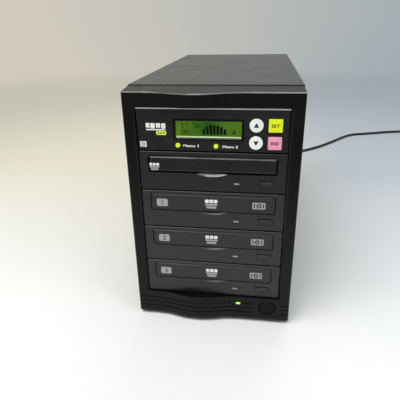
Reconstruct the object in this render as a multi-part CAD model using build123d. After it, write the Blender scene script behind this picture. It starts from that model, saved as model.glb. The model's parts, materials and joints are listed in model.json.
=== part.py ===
from build123d import *
import math
import os

# Desktop disc duplicator tower: a steel case with a moulded front, a control panel in the top bay,
# one reader and three writers below it, a power supply and a case fan at the rear, and a mains lead.
# Millimetres. +Z is up, +X is to the right seen from the front, and the front faces -Y.
# The origin is on the table, midway along the tower's width and depth, the lead left out.

# ---------------------------------------------------------------- driving dimensions: case
CASE_WIDTH = 176.0
CASE_DEPTH = 380.8            # flat front plane to the rear face of the cover
FOOT_HEIGHT = 6.0
FOOT_RADIUS = 9.0
FOOT_INSET = 20.0             # foot centre from the case's side
FOOT_END_INSET = 42.0         # foot centre from the front plane and from the rear face
SHEET = 1.0                   # steel sheet of the case
COVER_LIP = 11.0              # lip of the cover folded over the rear panel
SEAM = 0.4                    # visible gap between front moulding and cover
THUMB_HEAD = 6.2              # height of the cover's thumbscrew heads
THUMB_RADIUS = 4.5
SCREW_RADIUS = 1.5            # M3
SCREW_HEAD_RADIUS = 2.8
SCREW_HEAD = 2.0
SCREW_LENGTH = 5.0
SCREW_GAP = 0.1               # radial clearance of a screw in its hole
THUMB_EDGE = 0.6              # chamfer of a thumbscrew's head
FOOT_EDGE = 1.0

# ---------------------------------------------------------------- driving dimensions: bays
BAY_COUNT = 5
BAY_PITCH = 42.92
BAY_BASE = 33.7               # table to the underside of the lowest bay
HEADROOM = 19.4               # top bay to the top of the cover
FACE_WIDTH = 150.2            # a front of a half-height drive bay
FACE_GAP = 1.12               # between two neighbouring fronts
BAY_GAP = 0.5                 # around the stack of fronts, inside the moulding
RECESS = 2.5                  # fronts behind the flat front plane

# ---------------------------------------------------------------- driving dimensions: front moulding
BEZEL_DEPTH = 24.9
BEZEL_WALL = 3.0
BEZEL_DROP = 3.2              # the front's top edge below the cover's top
COVER_STEP = 0.8              # the cover stands above the moulding where they meet
BEZEL_EDGE = 2.0              # rounding of the outer corners
BEZEL_SKIRT = 2.0             # front and sides hang this far below the case's floor
BULGE = 7.0                   # the front swells out in plan by this much
BULGE_X = -18.0               # where it is fullest
BULGE_HALF = 48.0             # half its width
OPENING_BEVEL = 1.5
GROOVE_Z = 13.9               # lowest of the three grooves
GROOVE_PITCH = 5.75
GROOVE_COUNT = 3
GROOVE_HEIGHT = 1.6
GROOVE_DEPTH = 1.5
GROOVE_STOP = 16.0            # grooves end this far from the power button's centre
VENT_START = -26.0            # the top groove turns into short slots from here
VENT_STOP = 6.0               # and end this far from the lamp's centre
VENT_PITCH = 5.2
VENT_LENGTH = 3.4
POWER_INSET = 25.0            # power button's centre from the case's right side
POWER_Z = 21.4
POWER_RADIUS = 8.8
POWER_GAP = 1.0
POWER_TRAVEL = 2.0
POWER_FLANGE = 1.6
POWER_GUIDE = 3.4             # inside radius of the sleeve that carries the button's stem
POWER_STEM = 3.1
POWER_STEM_LENGTH = 10.0
POWER_LIP = 2.2               # flange of the button beyond its cap
POWER_SET = 0.2               # cap behind the flat front plane
POWER_EDGE = 0.5
SLEEVE_WALL = 1.6
SLEEVE_CLEAR = 1.0            # between the pressed button and its sleeve
LAMP_BESIDE = 33.0            # lamp to the left of the power button
LAMP_WIDTH = 5.0
LAMP_HEIGHT = 2.4
LAMP_DEPTH = 9.0
LAMP_PROUD = 0.4

# ---------------------------------------------------------------- driving dimensions: control panel
PANEL_THICK = 3.0
PANEL_RISE = 2.0              # the panel is this much taller than a drive's front
PANEL_EDGE = 0.8
PANEL_ARM = 40.0              # depth of the panel's side arms
PANEL_ARM_WALL = 2.0
DISPLAY_X = -3.1
DISPLAY_Z = 0.9
WINDOW_WIDTH = 64.5
WINDOW_HEIGHT = 16.4
WINDOW_BEVEL = 1.0
GLASS_THICK = 2.0
DISPLAY_WIDTH = 71.2
DISPLAY_HEIGHT = 23.0
DISPLAY_DEPTH = 7.0
DISPLAY_BOARD_WIDTH = 80.0
DISPLAY_BOARD_HEIGHT = 27.0
BOARD_THICK = 1.6
BOARD_BACK = 14.0             # control board behind the panel's rear face
BOARD_HEIGHT = 38.0
CHIPS = [                     # x, height above the bay's centre, width, height
    (-48.0, 4.0, 20.0, 20.0),
    (-10.0, 2.0, 26.0, 26.0),
    (30.0, -4.0, 14.0, 10.0),
]
KEY_GAP = 0.25
KEY_PROUD = 0.8
KEY_TRAVEL = 0.5
KEY_FLANGE = 0.9
KEY_FLANGE_THICK = 1.0
KEY_STEM = 1.6
KEY_SLACK = 0.3               # key flange behind the panel
SWITCH_SIZE = 6.0
SWITCH_HEIGHT = 4.3
ROUND_KEY_RADIUS = 6.6
SQUARE_KEY = 13.2
SQUARE_KEY_HEIGHT = 12.8
SMALL_KEY_RADIUS = 2.4
KEY_ROUNDING = 0.8
KEY_EDGE = 0.3
SWITCH_SLACK = 0.2            # pressed key in front of its switch
KEYS = {                      # name: (kind, x, height above the bay's centre)
    "up_key": ("round", 43.4, 6.0),
    "down_key": ("round", 43.4, -11.1),
    "confirm_key": ("square", 61.5, 6.0),
    "cancel_key": ("square", 61.5, -11.2),
    "menu_1_key": ("small", -33.8, -15.1),
    "menu_2_key": ("small", 4.5, -15.3),
}

# ---------------------------------------------------------------- driving dimensions: drives
DRIVE_WIDTH = 146.0
DRIVE_GAP = 1.62              # between two neighbouring drive shells
DRIVE_DEPTH = 170.0
DRIVE_FRONT = 5.0             # thickness of a drive's front
FRONT_EDGE = 0.5
FRONT_CORNER = 1.0            # rounding of a drive front's corners
DOOR_WIDTH = 130.8
DOOR_THICK = 4.0
DOOR_GAP = 0.65
DOOR_CORNER = 2.5
WRITER_DOOR = (17.8, 7.6)     # door height, and its centre above the bay's centre
READER_DOOR = (17.3, 7.4)
READER_ROLL = 3.0             # the reader's door rolls back along its top edge
WRITER_EJECT = (14.6, 6.1)
READER_EJECT = (13.0, 4.8)
EJECT_X = 56.2
EJECT_Z = -11.3
EJECT_GAP = 0.3
EJECT_SLOT = 0.8              # more room above an eject button
EJECT_PROUD = 0.5
EJECT_DEPTH = 8.0
EJECT_TRAVEL = 0.8
EJECT_CORNER = 0.8
EJECT_EDGE = 0.4
LENS_X = 25.5
LENS_Z = -11.7
LENS_WIDTH = 5.4
LENS_HEIGHT = 1.4
LENS_PROUD = 0.2
LENS_REACH = 2.0              # light pipe behind a drive's front
PINHOLE_X = 48.9
PINHOLE_Z = -4.7
PINHOLE_RADIUS = 0.6
SCOOP_RADIUS = 43.0
SCOOP_BOTTOM = -5.0
SCOOP_DEPTH = 3.0

# ---------------------------------------------------------------- driving dimensions: drive mechanism
RAIL_WALL = 7.2               # moulded rail between the tray and the shell
TRAY_LENGTH = 152.0
TRAY_BOTTOM = 2.0             # above the bay's centre
TRAY_THICK = 5.2
TRAY_TRAVEL = 132.0
DISC_RADIUS = 60.5            # dish for a 120 mm disc
DISC_LEDGE = 3.2              # dish floor above the tray's underside
SMALL_DISC_RADIUS = 40.5
SMALL_DISC_LEDGE = 2.0
SPINDLE_BACK = 70.0           # spindle behind the drive's face
HUB_HOLE = 18.0
SLOT_WIDTH = 48.0
SLOT_END = 60.0               # slot's rear end behind the spindle
RUNNING = 0.3                 # gap between the tray and its rails
RAIL_LIP = 2.0
RAIL_LIP_THICK = 1.6
RAIL_GAP = 0.3                # rails behind the pressed eject button
RAIL_END = 165.0
LOADER_PLATE = 2.0
GEAR_MODULE = 1.2
PINION_TEETH = 14
PINION_BACK = 16.0            # pinion's axis behind the drive's face
PINION_CLEAR = 0.3
RACK_INSET = 4.5              # outer side of the rack from the tray's side
RACK_BACKING = 2.0
RACK_HEIGHT = 3.0
RACK_START = 9.0
RACK_RUN_OUT = 6.0            # rack past the pinion when the tray is fully out
TOOTH_BACKLASH = 0.3
TOOTH_HEIGHT = 0.8            # of the module, above the pitch line
TOOTH_DEPTH = 1.2             # of the module, below it
PRESSURE_ANGLE = 20.0
POST_RADIUS = 1.5
SHOULDER_RADIUS = 3.0
BEARING_GAP = 0.05            # radial clearance of shafts and rods
MOTOR_RADIUS = 13.0
MOTOR_HEIGHT = 6.0
MOTOR_TOP = -3.0              # above the bay's centre
TABLE_RADIUS = 14.0
TABLE_THICK = 1.6
TABLE_GAP = 0.4
TABLE_HUB_RADIUS = 7.3
TABLE_HUB_HEIGHT = 1.4
SHAFT_RADIUS = 1.0
SHAFT_END = 0.5               # end of a shaft inside its bearing's outer face
GUIDE_RADIUS = 1.5
GUIDE_X = 19.0
GUIDE_Z = -7.0
GUIDE_START = 14.0            # behind the spindle
GUIDE_BLOCK = 6.0
GUIDE_END = 1.0               # end of a rod inside its block's outer face
GUIDE_STOP = 0.6              # gap between the sled and a guide block at each end of its travel
PICKUP_WIDTH = 46.0
PICKUP_LENGTH = 26.0
PICKUP_HEIGHT = 7.0
PICKUP_TRAVEL = 34.0
PICKUP_LENS_BACK = 5.0        # lens behind the sled's front edge
PICKUP_LENS_RADIUS = 3.6
PICKUP_LENS_HEIGHT = 2.4
LOADING_MOTOR_RADIUS = 8.0
LOADING_MOTOR_HEIGHT = 12.0
LOADING_MOTOR_X = -20.0
LOADING_MOTOR_BACK = 22.0
CLAMP_WIDTH = 30.0
CLAMP_THICK = 1.5
CLAMP_TOP = 17.5
CLAMP_EAR = 4.0               # thickness of the clamp bridge's legs
PUCK_RADIUS = 15.0
PUCK_HEIGHT = 3.0

# ---------------------------------------------------------------- driving dimensions: cage, supply, fans
CAGE_GAP = 0.1
CAGE_DEPTH = 190.0            # rear edge of the cage behind the front plane
CAGE_SIDE_GAP = 3.9           # flange of the cage to the chassis' side flange
DRIVE_SCREW_Y = (52.0, 131.0)
DRIVE_SCREW_Z = -10.0
SUPPLY_SIDE_GAP = 1.0         # power supply to the cover's rear lip
SUPPLY_DEPTH = 140.0
SUPPLY_LAP_SIDE = 6.0         # rear panel laps the power supply by this much at its sides
SUPPLY_LAP_END = 3.5          # and by this much above and below
SUPPLY_SCREW_INSET = 12.0     # power supply screws from its lower and upper ends
SUPPLY_FAN_INSET = 7.0        # fan frame from the power supply's left side
SUPPLY_FAN_MARGIN = 2.0       # above and below the fan, inside the power supply
FAN_SIZE = 80.0
FAN_DEPTH = 25.0
FAN_RIM = 2.0                 # wall of the frame at its thinnest
FAN_SCREW_INSET = 4.25        # screw from the frame's edges
FAN_TIP_GAP = 1.4             # blades to the duct
FAN_HUB_RADIUS = 18.0
FAN_ROTOR_DEPTH = 18.0
FAN_BLADES = 7
FAN_BLADE_THICK = 1.4
FAN_BLADE_ANGLE = 38.0
FAN_BOSS_RADIUS = 17.0
FAN_BOSS_THICK = 3.0
FAN_SHAFT_RADIUS = 2.0
FAN_CORNER = 3.0
FAN_SPOKE = 4.0
FAN_SPOKES = 3
FAN_GAP = 1.0                 # between the boss and the rotor
FAN_BLADE_ROOT = 4.0          # blades start this far inside the hub
CASE_FAN_ABOVE = 19.0         # case fan above the power supply
GUARD_WIRE = 0.8              # radius of the wire
GUARD_RINGS = (12.0, 20.0, 28.0, 36.0)
VENT_SLOT_LENGTH = 52.0
VENT_SLOT_HEIGHT = 3.0
VENT_SLOT_PITCH = 7.0
VENT_SLOT_COUNT = 5
VENT_SLOT_ABOVE = 20.0        # lowest slot above the case fan
INLET_INSET = 23.0            # inlet's and switch's centres from the power supply's right side
INLET_RISE = 59.0             # above the power supply's underside
INLET_WIDTH = 30.0
INLET_HEIGHT = 22.0
INLET_FLANGE = 1.5
INLET_CORNER = 2.0
INLET_LIP = 2.0
INLET_BODY_DEPTH = 20.0
INLET_CAVITY_DEPTH = 16.0
PLUG_NOSE_WIDTH = 24.0
PLUG_NOSE_HEIGHT = 16.4
PLUG_NOSE_CHAMFER = 4.0
PLUG_NOSE_GAP = 0.2
BLADE_WIDTH = 2.0
BLADE_HEIGHT = 4.0
BLADE_LENGTH = 14.0
BLADE_SPACING = 7.0
BLADE_RISE = 2.0
SWITCH_RISE = 25.0
SWITCH_WIDTH = 15.0
SWITCH_TALL = 21.0
SWITCH_FRAME = 2.0
SWITCH_BODY_DEPTH = 14.0
SWITCH_WALL = 1.2
SWITCH_FLOOR = 2.0
ROCKER_DEPTH = 3.0            # pin behind the face of the power supply
ROCKER_HEEL = 4.0             # rocker in front of its pin, inside the switch
ROCKER_END = 0.1              # gap at each end of the pin
ROCKER_GAP = 0.35
ROCKER_TILT = 8.0             # half the rocker's swing, degrees
ROCKER_PROUD = 0.6            # crest of the rocker above its frame
ROCKER_PIN = 1.2
ROCKER_TAPER = 0.55           # width of the rocker's heel, of its face

# ---------------------------------------------------------------- driving dimensions: mains lead
CORD_DIAMETER = 6.6
CONNECTOR_LENGTH = 24.0
CONNECTOR_WIDTH = 27.0
CONNECTOR_HEIGHT = 19.0
RELIEF_LENGTH = 24.0
RELIEF_RADIUS = 5.2
RELIEF_WALL = 0.4             # thickness of a strain relief at its thin end
CONNECTOR_GAP = 0.2           # connector's shoulder behind the inlet
CONNECTOR_CORNER = 3.0
BLADE_SLACK = 0.3             # connector's slots round the inlet's blades
CORD_OUT = 27.0               # the lead runs straight for this far first
COIL_CENTRE = (515.0, 679.5)
COIL_RADIUS = 42.5            # of the outermost turn's centre line
COIL_STEP = 8.3               # from one turn to the next
COIL_LAYER = 7.8              # from the lower layer to the upper one
COIL_TURNS_IN = 4             # half turns of the lower layer
COIL_TURNS_OUT = 5            # half turns of the upper layer
MAINS_PLUG_LENGTH = 36.0
MAINS_PLUG_WIDTH = 26.0
MAINS_PLUG_ROUNDING = 4.0
MAINS_BLADE = (1.5, 6.3, 17.0)
MAINS_BLADE_SPACING = 12.7
MAINS_BLADE_DROP = 1.15       # lower edge of the blades below the plug's middle
MAINS_EARTH_RADIUS = 2.4
MAINS_EARTH_DROP = 5.6
PLUG_RELIEF_RADIUS = 4.4
MAINS_ROOT = 1.0              # blades start this far inside the plug

# ---------------------------------------------------------------- places worked out from the sizes
HALF_WIDTH = CASE_WIDTH / 2
INNER_HALF = HALF_WIDTH - SHEET
FACE_HEIGHT = BAY_PITCH - FACE_GAP
DRIVE_HEIGHT = BAY_PITCH - DRIVE_GAP
BAY_TOP = BAY_BASE + BAY_COUNT * BAY_PITCH
TOP = BAY_TOP + HEADROOM
FRONT = -(CASE_DEPTH + THUMB_HEAD + BULGE) / 2 + BULGE
REAR = FRONT + CASE_DEPTH
FACE = FRONT + RECESS
SEAM_Y = FRONT + BEZEL_DEPTH
FLOOR = FOOT_HEIGHT + SHEET
PANEL_BACK = REAR - SHEET                 # outer face of the rear panel, under the cover's lip
SUPPLY_FACE = PANEL_BACK - SHEET          # where the power supply and fan seat
OPENING_HALF = FACE_WIDTH / 2 + BAY_GAP
STACK_BOTTOM = BAY_BASE + FACE_GAP / 2 - BAY_GAP
STACK_TOP = BAY_TOP - FACE_GAP / 2 + PANEL_RISE + BAY_GAP
SHELL_FRONT = FACE + DRIVE_FRONT
CAGE_INNER = DRIVE_WIDTH / 2 + CAGE_GAP
CAGE_FRONT = SEAM_Y + SHEET
TOP_INSIDE = TOP - SHEET
CAGE_FLANGE = INNER_HALF - SHEET - CAGE_INNER - CAGE_SIDE_GAP
POWER_X = HALF_WIDTH - POWER_INSET
LAMP_X = POWER_X - LAMP_BESIDE
VENT_END = LAMP_X - VENT_STOP
TRAY_WIDTH = DRIVE_WIDTH - 2 * (SHEET + RAIL_WALL + RUNNING)
RACK_X = RACK_INSET - TRAY_WIDTH / 2
RAIL_START = EJECT_DEPTH - EJECT_PROUD + EJECT_TRAVEL + RAIL_GAP
FAN_HOLE_RADIUS = FAN_SIZE / 2 - FAN_RIM
FAN_ROTOR_RADIUS = FAN_HOLE_RADIUS - FAN_TIP_GAP
FAN_SCREW_SPACING = FAN_SIZE - 2 * FAN_SCREW_INSET
SUPPLY_WIDTH = 2 * (INNER_HALF - COVER_LIP - SUPPLY_SIDE_GAP)
SUPPLY_HEIGHT = FAN_SIZE + 2 * (SHEET + SUPPLY_FAN_MARGIN)
SUPPLY_FAN_X = (FAN_SIZE - SUPPLY_WIDTH) / 2 + SUPPLY_FAN_INSET
SUPPLY_FAN_Z = FLOOR + SUPPLY_HEIGHT / 2
CASE_FAN_Z = FLOOR + SUPPLY_HEIGHT + CASE_FAN_ABOVE + FAN_SIZE / 2
VENT_SLOT_Z = CASE_FAN_Z + FAN_SIZE / 2 + VENT_SLOT_ABOVE
INLET_X = SUPPLY_WIDTH / 2 - INLET_INSET
INLET_Z = FLOOR + INLET_RISE
SWITCH_X = INLET_X
SWITCH_Z = FLOOR + SWITCH_RISE
DRIVES = {"reader": 1, "writer_1": 2, "writer_2": 3, "writer_3": 4}   # bay, counted from the top


# ---------------------------------------------------------------- small helpers
def span(x, y, z):
    """Block between the given limits, each a pair."""
    middle = [(a + b) / 2 for a, b in (x, y, z)]
    return Pos(*middle) * Box(x[1] - x[0], y[1] - y[0], z[1] - z[0])


def upright(sketch, y_front, y_back):
    """A sketch drawn in X and Z, given thickness along Y."""
    return extrude(Plane.XZ.offset(-y_back) * sketch, y_back - y_front)


def post(x, y, z, radius):
    """Round post along Z, where z is a pair."""
    return Pos(x, y, (z[0] + z[1]) / 2) * Cylinder(radius, z[1] - z[0])


def bar(x, y, z, radius):
    """Round bar along Y, where y is a pair."""
    return Pos(x, (y[0] + y[1]) / 2, z) * Rot(90, 0, 0) * Cylinder(radius, y[1] - y[0])


def pin(x, y, z, radius):
    """Round pin along X, where x is a pair."""
    return Pos((x[0] + x[1]) / 2, y, z) * Rot(0, 90, 0) * Cylinder(radius, x[1] - x[0])


def front_edges(shape):
    """Edges round a shape's foremost face."""
    return shape.faces().sort_by(Axis.Y)[0].edges()


def bay_z(bay):
    """Height of a bay's centre; bay 0 is the top one."""
    return BAY_TOP - (bay + 0.5) * BAY_PITCH


def save(name, *solids):
    """Write one node, as one solid or a group of separate solids."""
    flat = [s for shape in solids for s in shape.solids()]
    export_step(flat[0] if len(flat) == 1 else Compound(children=flat), "parts/" + name + ".step")


# ---------------------------------------------------------------- front moulding
def front_outline(inset):
    """Closed plan of the front, bulge included, set back from the front by inset."""
    near = FRONT + inset
    left, right = BULGE_X - BULGE_HALF, BULGE_X + BULGE_HALF
    radius = (BULGE_HALF ** 2 / 4 + BULGE ** 2 / 4) / BULGE
    half = BULGE_HALF / 2
    sag = radius - math.sqrt(radius ** 2 - half ** 2 / 4 - BULGE ** 2 / 16)
    normal = math.atan2(BULGE / 2, half)
    dx, dy = sag * math.sin(normal), sag * math.cos(normal)
    crest = near - BULGE

    def bow(start, end, side, outward):
        middle = ((start[0] + end[0]) / 2 + side * outward * dx, (start[1] + end[1]) / 2 - outward * dy)
        return ThreePointArc(start, middle, end)

    waist_left, waist_right = (left + half, near - BULGE / 2), (right - half, near - BULGE / 2)
    top = (BULGE_X, crest)
    edge = inset if inset > 0 else 0.0
    side = HALF_WIDTH - edge
    back = SEAM_Y + 1.0
    lines = [
        Line((-side, back), (-side, near)),
        Line((-side, near), (left, near)),
        bow((left, near), waist_left, -1, -1),
        bow(waist_left, top, -1, 1),
        bow(top, waist_right, 1, 1),
        bow(waist_right, (right, near), 1, -1),
        Line((right, near), (side, near)),
        Line((side, near), (side, back)),
        Line((side, back), (-side, back)),
    ]
    return make_face(lines)


def groove_cutter(x, z_middle):
    """Shallow groove that follows the front's outline between two x limits."""
    low = z_middle - GROOVE_HEIGHT / 2
    core = extrude(Pos(0, 0, low - 1) * front_outline(GROOVE_DEPTH), GROOVE_HEIGHT + 2)
    slab = span(x, (FRONT - 2 * BULGE, SEAM_Y - SEAM), (low, low + GROOVE_HEIGHT))
    return slab - core


def front_bezel():
    bottom = FOOT_HEIGHT - BEZEL_SKIRT
    body = extrude(Pos(0, 0, bottom) * front_outline(0.0), TOP - bottom)
    body &= span((-CASE_WIDTH, CASE_WIDTH), (FRONT - 2 * BULGE, SEAM_Y), (0, TOP))
    ahead = FRONT - 2 * BULGE
    behind = SEAM_Y + 1
    slope = Polyline((behind, TOP + 1), (ahead, TOP + 1), (ahead, slope_z(ahead)), (behind, slope_z(behind)),
                     close=True)
    body -= Pos(-CASE_WIDTH, 0, 0) * extrude(Plane.YZ * make_face(slope), 2 * CASE_WIDTH)
    uprights = [e for e in body.edges().filter_by(Axis.Z) if abs(e.center().Y - FRONT) < 0.1
                and abs(e.center().X) > HALF_WIDTH - 1]
    body = fillet(uprights, BEZEL_EDGE)
    front_top = [e for e in body.edges()
                 if e.center().Z > TOP - BEZEL_DROP - 3 and e.center().Y < FRONT + 1.9]
    body = fillet(front_top, BEZEL_EDGE * 0.75)
    bottom_sides = [e for e in body.edges().filter_by(Axis.Y)
                    if e.center().Z < bottom + 0.1 and abs(e.center().X) > HALF_WIDTH - 1]
    body = fillet(bottom_sides, BEZEL_EDGE)
    hollow_half = HALF_WIDTH - BEZEL_WALL
    body -= span((-hollow_half, hollow_half), (FRONT + BEZEL_WALL, SEAM_Y + 1),
                 (FOOT_HEIGHT + BEZEL_WALL, TOP - BEZEL_DROP - BEZEL_WALL))
    body -= span((-hollow_half, hollow_half), (FRONT + BEZEL_WALL, SEAM_Y + 1), (bottom - 1, FOOT_HEIGHT))
    body -= span((-OPENING_HALF, OPENING_HALF), (FRONT - 2 * BULGE, SEAM_Y), (STACK_BOTTOM, STACK_TOP))
    for side in (-1, 1):
        near, far = side * (OPENING_HALF - 1), side * (OPENING_HALF + OPENING_BEVEL)
        corner = (side * OPENING_HALF, FRONT + OPENING_BEVEL)
        bevel = Polyline((near, FRONT - 1), (far, FRONT - 1), (far, FRONT), corner, (near, corner[1]), close=True)
        body -= extrude(Pos(0, 0, STACK_BOTTOM) * make_face(bevel), STACK_TOP - STACK_BOTTOM)
    outside = HALF_WIDTH + 1
    for row in range(GROOVE_COUNT):
        z = GROOVE_Z + row * GROOVE_PITCH
        body -= groove_cutter((POWER_X + GROOVE_STOP, outside), z)
        if row < GROOVE_COUNT - 1:
            body -= groove_cutter((-outside, POWER_X - GROOVE_STOP), z)
    top_groove = GROOVE_Z + (GROOVE_COUNT - 1) * GROOVE_PITCH
    body -= groove_cutter((-outside, VENT_START), top_groove)
    body -= groove_cutter((LAMP_X + LAMP_WIDTH / 2, POWER_X - GROOVE_STOP), top_groove)
    for vent in range(1 + int((VENT_END - VENT_START - VENT_LENGTH) / VENT_PITCH)):
        x = VENT_START + (VENT_PITCH - VENT_LENGTH) + vent * VENT_PITCH
        body -= groove_cutter((x, x + VENT_LENGTH), top_groove)
    hole = bar(POWER_X, (FRONT - BULGE, FRONT + BEZEL_WALL + 1), POWER_Z, POWER_RADIUS + POWER_GAP)
    body -= hole
    body -= lamp_shape(FRONT - BULGE, FRONT + BEZEL_WALL + 1)
    sleeve_end = SEAM_Y
    sleeve_start = power_back() + POWER_TRAVEL + SLEEVE_CLEAR
    sleeve = bar(POWER_X, (sleeve_start, sleeve_end), POWER_Z, POWER_GUIDE + SLEEVE_WALL)
    web = span((POWER_X - SLEEVE_WALL / 2, POWER_X + SLEEVE_WALL / 2), (sleeve_start, sleeve_end),
               (FOOT_HEIGHT + BEZEL_WALL / 2, POWER_Z))
    body += sleeve + web
    body -= bar(POWER_X, (sleeve_start - 1, sleeve_end + 1), POWER_Z, POWER_GUIDE)
    return body


def slope_z(y):
    """Height of the moulding's top at a given depth."""
    return TOP - COVER_STEP - (BEZEL_DROP - COVER_STEP) * (SEAM_Y - y) / BEZEL_DEPTH


def lamp_shape(y_front, y_back):
    z = GROOVE_Z + (GROOVE_COUNT - 1) * GROOVE_PITCH
    return upright(Pos(LAMP_X, z) * RectangleRounded(LAMP_WIDTH, LAMP_HEIGHT, LAMP_HEIGHT * 0.45),
                   y_front, y_back)


def power_back():
    """Rear face of the power button's flange."""
    return FRONT + BEZEL_WALL + KEY_SLACK + POWER_FLANGE


def power_button():
    cap = bar(POWER_X, (FRONT + POWER_SET, power_back()), POWER_Z, POWER_RADIUS)
    cap = chamfer(front_edges(cap), POWER_EDGE)
    flange = bar(POWER_X, (power_back() - POWER_FLANGE, power_back()), POWER_Z, POWER_RADIUS + POWER_LIP)
    stem = bar(POWER_X, (power_back(), power_back() + POWER_STEM_LENGTH), POWER_Z, POWER_STEM)
    return cap + flange + stem


# ---------------------------------------------------------------- case
def chassis():
    floor = span((-INNER_HALF, INNER_HALF), (SEAM_Y, PANEL_BACK), (FOOT_HEIGHT, FLOOR))
    rear = span((-INNER_HALF, INNER_HALF), (SUPPLY_FACE, PANEL_BACK), (FOOT_HEIGHT, TOP_INSIDE))
    front = span((-INNER_HALF, INNER_HALF), (SEAM_Y, CAGE_FRONT), (FOOT_HEIGHT, TOP_INSIDE))
    front -= span((-CAGE_INNER, CAGE_INNER), (SEAM_Y - 1, CAGE_FRONT + 1),
                  (BAY_BASE - 1, BAY_TOP + 1))
    front -= bar(POWER_X, (SEAM_Y - 1, CAGE_FRONT + 1), POWER_Z, POWER_GUIDE)
    body = floor + rear + front
    for side in (-1, 1):
        ends = sorted((side * (INNER_HALF - SHEET), side * INNER_HALF))
        body += span(ends, (CAGE_FRONT, SUPPLY_FACE), (FLOOR, FLOOR + COVER_LIP))
    window = SUPPLY_WIDTH / 2 - SUPPLY_LAP_SIDE
    body -= span((-window, window), (SUPPLY_FACE - 1, PANEL_BACK + 1),
                 (FLOOR + SUPPLY_LAP_END, FLOOR + SUPPLY_HEIGHT - SUPPLY_LAP_END))
    body -= bar(0, (SUPPLY_FACE - 1, PANEL_BACK + 1), CASE_FAN_Z, FAN_HOLE_RADIUS)
    for x, z in fan_corners(0, CASE_FAN_Z):
        body -= screw_hole(x, z, SUPPLY_FACE - 1, PANEL_BACK + 1)
    for x, z in supply_corners():
        body -= screw_hole(x, z, SUPPLY_FACE - 1, PANEL_BACK + 1)
    for x, z in cover_screws():
        body -= screw_hole(x, z, SUPPLY_FACE - 1, PANEL_BACK + 1)
    for row in range(VENT_SLOT_COUNT):
        slot = Pos(0, VENT_SLOT_Z + row * VENT_SLOT_PITCH) * SlotOverall(VENT_SLOT_LENGTH, VENT_SLOT_HEIGHT)
        body -= upright(slot, SUPPLY_FACE - 1, PANEL_BACK + 1)
    return body


def cover():
    outer = span((-HALF_WIDTH, HALF_WIDTH), (SEAM_Y + SEAM, REAR), (FOOT_HEIGHT, TOP))
    top_edges = [e for e in outer.edges().filter_by(Axis.Y) if e.center().Z > TOP - 0.1]
    outer = fillet(top_edges, 1.5 * SHEET)
    body = outer - span((-INNER_HALF, INNER_HALF), (SEAM_Y, REAR - SHEET), (0, TOP_INSIDE))
    lip = INNER_HALF - COVER_LIP
    body -= span((-lip, lip), (REAR - 2 * SHEET, REAR + 1), (0, TOP - COVER_LIP))
    for x, z in cover_screws():
        body -= screw_hole(x, z, REAR - SHEET - 1, REAR + 1)
    return body


def cover_screws():
    """Places of the thumbscrews through the cover's rear lip."""
    x = INNER_HALF - COVER_LIP / 2
    rows = (FLOOR + 1.5 * COVER_LIP, (FLOOR + TOP) / 2, TOP - 1.5 * COVER_LIP)
    return [(side * x, z) for side in (-1, 1) for z in rows]


def fan_corners(x, z):
    half = FAN_SCREW_SPACING / 2
    return [(x + i * half, z + j * half) for i in (-1, 1) for j in (-1, 1)]


def supply_corners():
    """Screws that hold the power supply to the rear panel, in the strip that laps it."""
    x = SUPPLY_WIDTH / 2 - SUPPLY_LAP_SIDE / 2
    rows = (FLOOR + SUPPLY_SCREW_INSET, FLOOR + SUPPLY_HEIGHT - SUPPLY_SCREW_INSET)
    return [(side * x, z) for side in (-1, 1) for z in rows]


def screw_hole(x, z, y_front, y_back):
    return bar(x, (y_front, y_back), z, SCREW_RADIUS + SCREW_GAP)


def rear_screw(x, z, seat, length):
    """Pan-head screw driven forwards into the rear, its head on the seat."""
    head = bar(x, (seat, seat + SCREW_HEAD), z, SCREW_HEAD_RADIUS)
    return head + bar(x, (seat - length, seat), z, SCREW_RADIUS)


def thumb_screw(x, z):
    head = bar(x, (REAR, REAR + THUMB_HEAD), z, THUMB_RADIUS)
    head = chamfer(head.faces().sort_by(Axis.Y)[-1].edges(), THUMB_EDGE)
    return head + bar(x, (REAR - SCREW_LENGTH, REAR), z, SCREW_RADIUS)


def screws():
    group = [thumb_screw(x, z) for x, z in cover_screws()]
    group += [rear_screw(x, z, PANEL_BACK, SCREW_LENGTH) for x, z in supply_corners()]
    eye = 2 * GUARD_WIRE
    group += [rear_screw(x, z, PANEL_BACK + eye, SCREW_LENGTH + eye) for x, z in fan_corners(0, CASE_FAN_Z)]
    group += [rear_screw(x, z, SUPPLY_FACE + eye, SCREW_LENGTH + eye)
              for x, z in fan_corners(SUPPLY_FAN_X, SUPPLY_FAN_Z)]
    for bay in DRIVES.values():
        for y in DRIVE_SCREW_Y:
            for side in (-1, 1):
                group.append(drive_screw(side, FRONT + y, bay_z(bay) + DRIVE_SCREW_Z))
    return group


def drive_screw(side, y, z):
    """Screw through the cage's side plate into a drive's shell."""
    seat = CAGE_INNER + SHEET
    head = pin(sorted((side * seat, side * (seat + SCREW_HEAD))), y, z, SCREW_HEAD_RADIUS)
    tip = DRIVE_WIDTH / 2 - SHEET
    return head + pin(sorted((side * seat, side * tip)), y, z, SCREW_RADIUS)


def drive_screw_hole(side, y, z):
    ends = sorted((side * (DRIVE_WIDTH / 2 - 2 * SHEET), side * (CAGE_INNER + 2 * SHEET)))
    return pin(ends, y, z, SCREW_RADIUS + SCREW_GAP)


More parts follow.
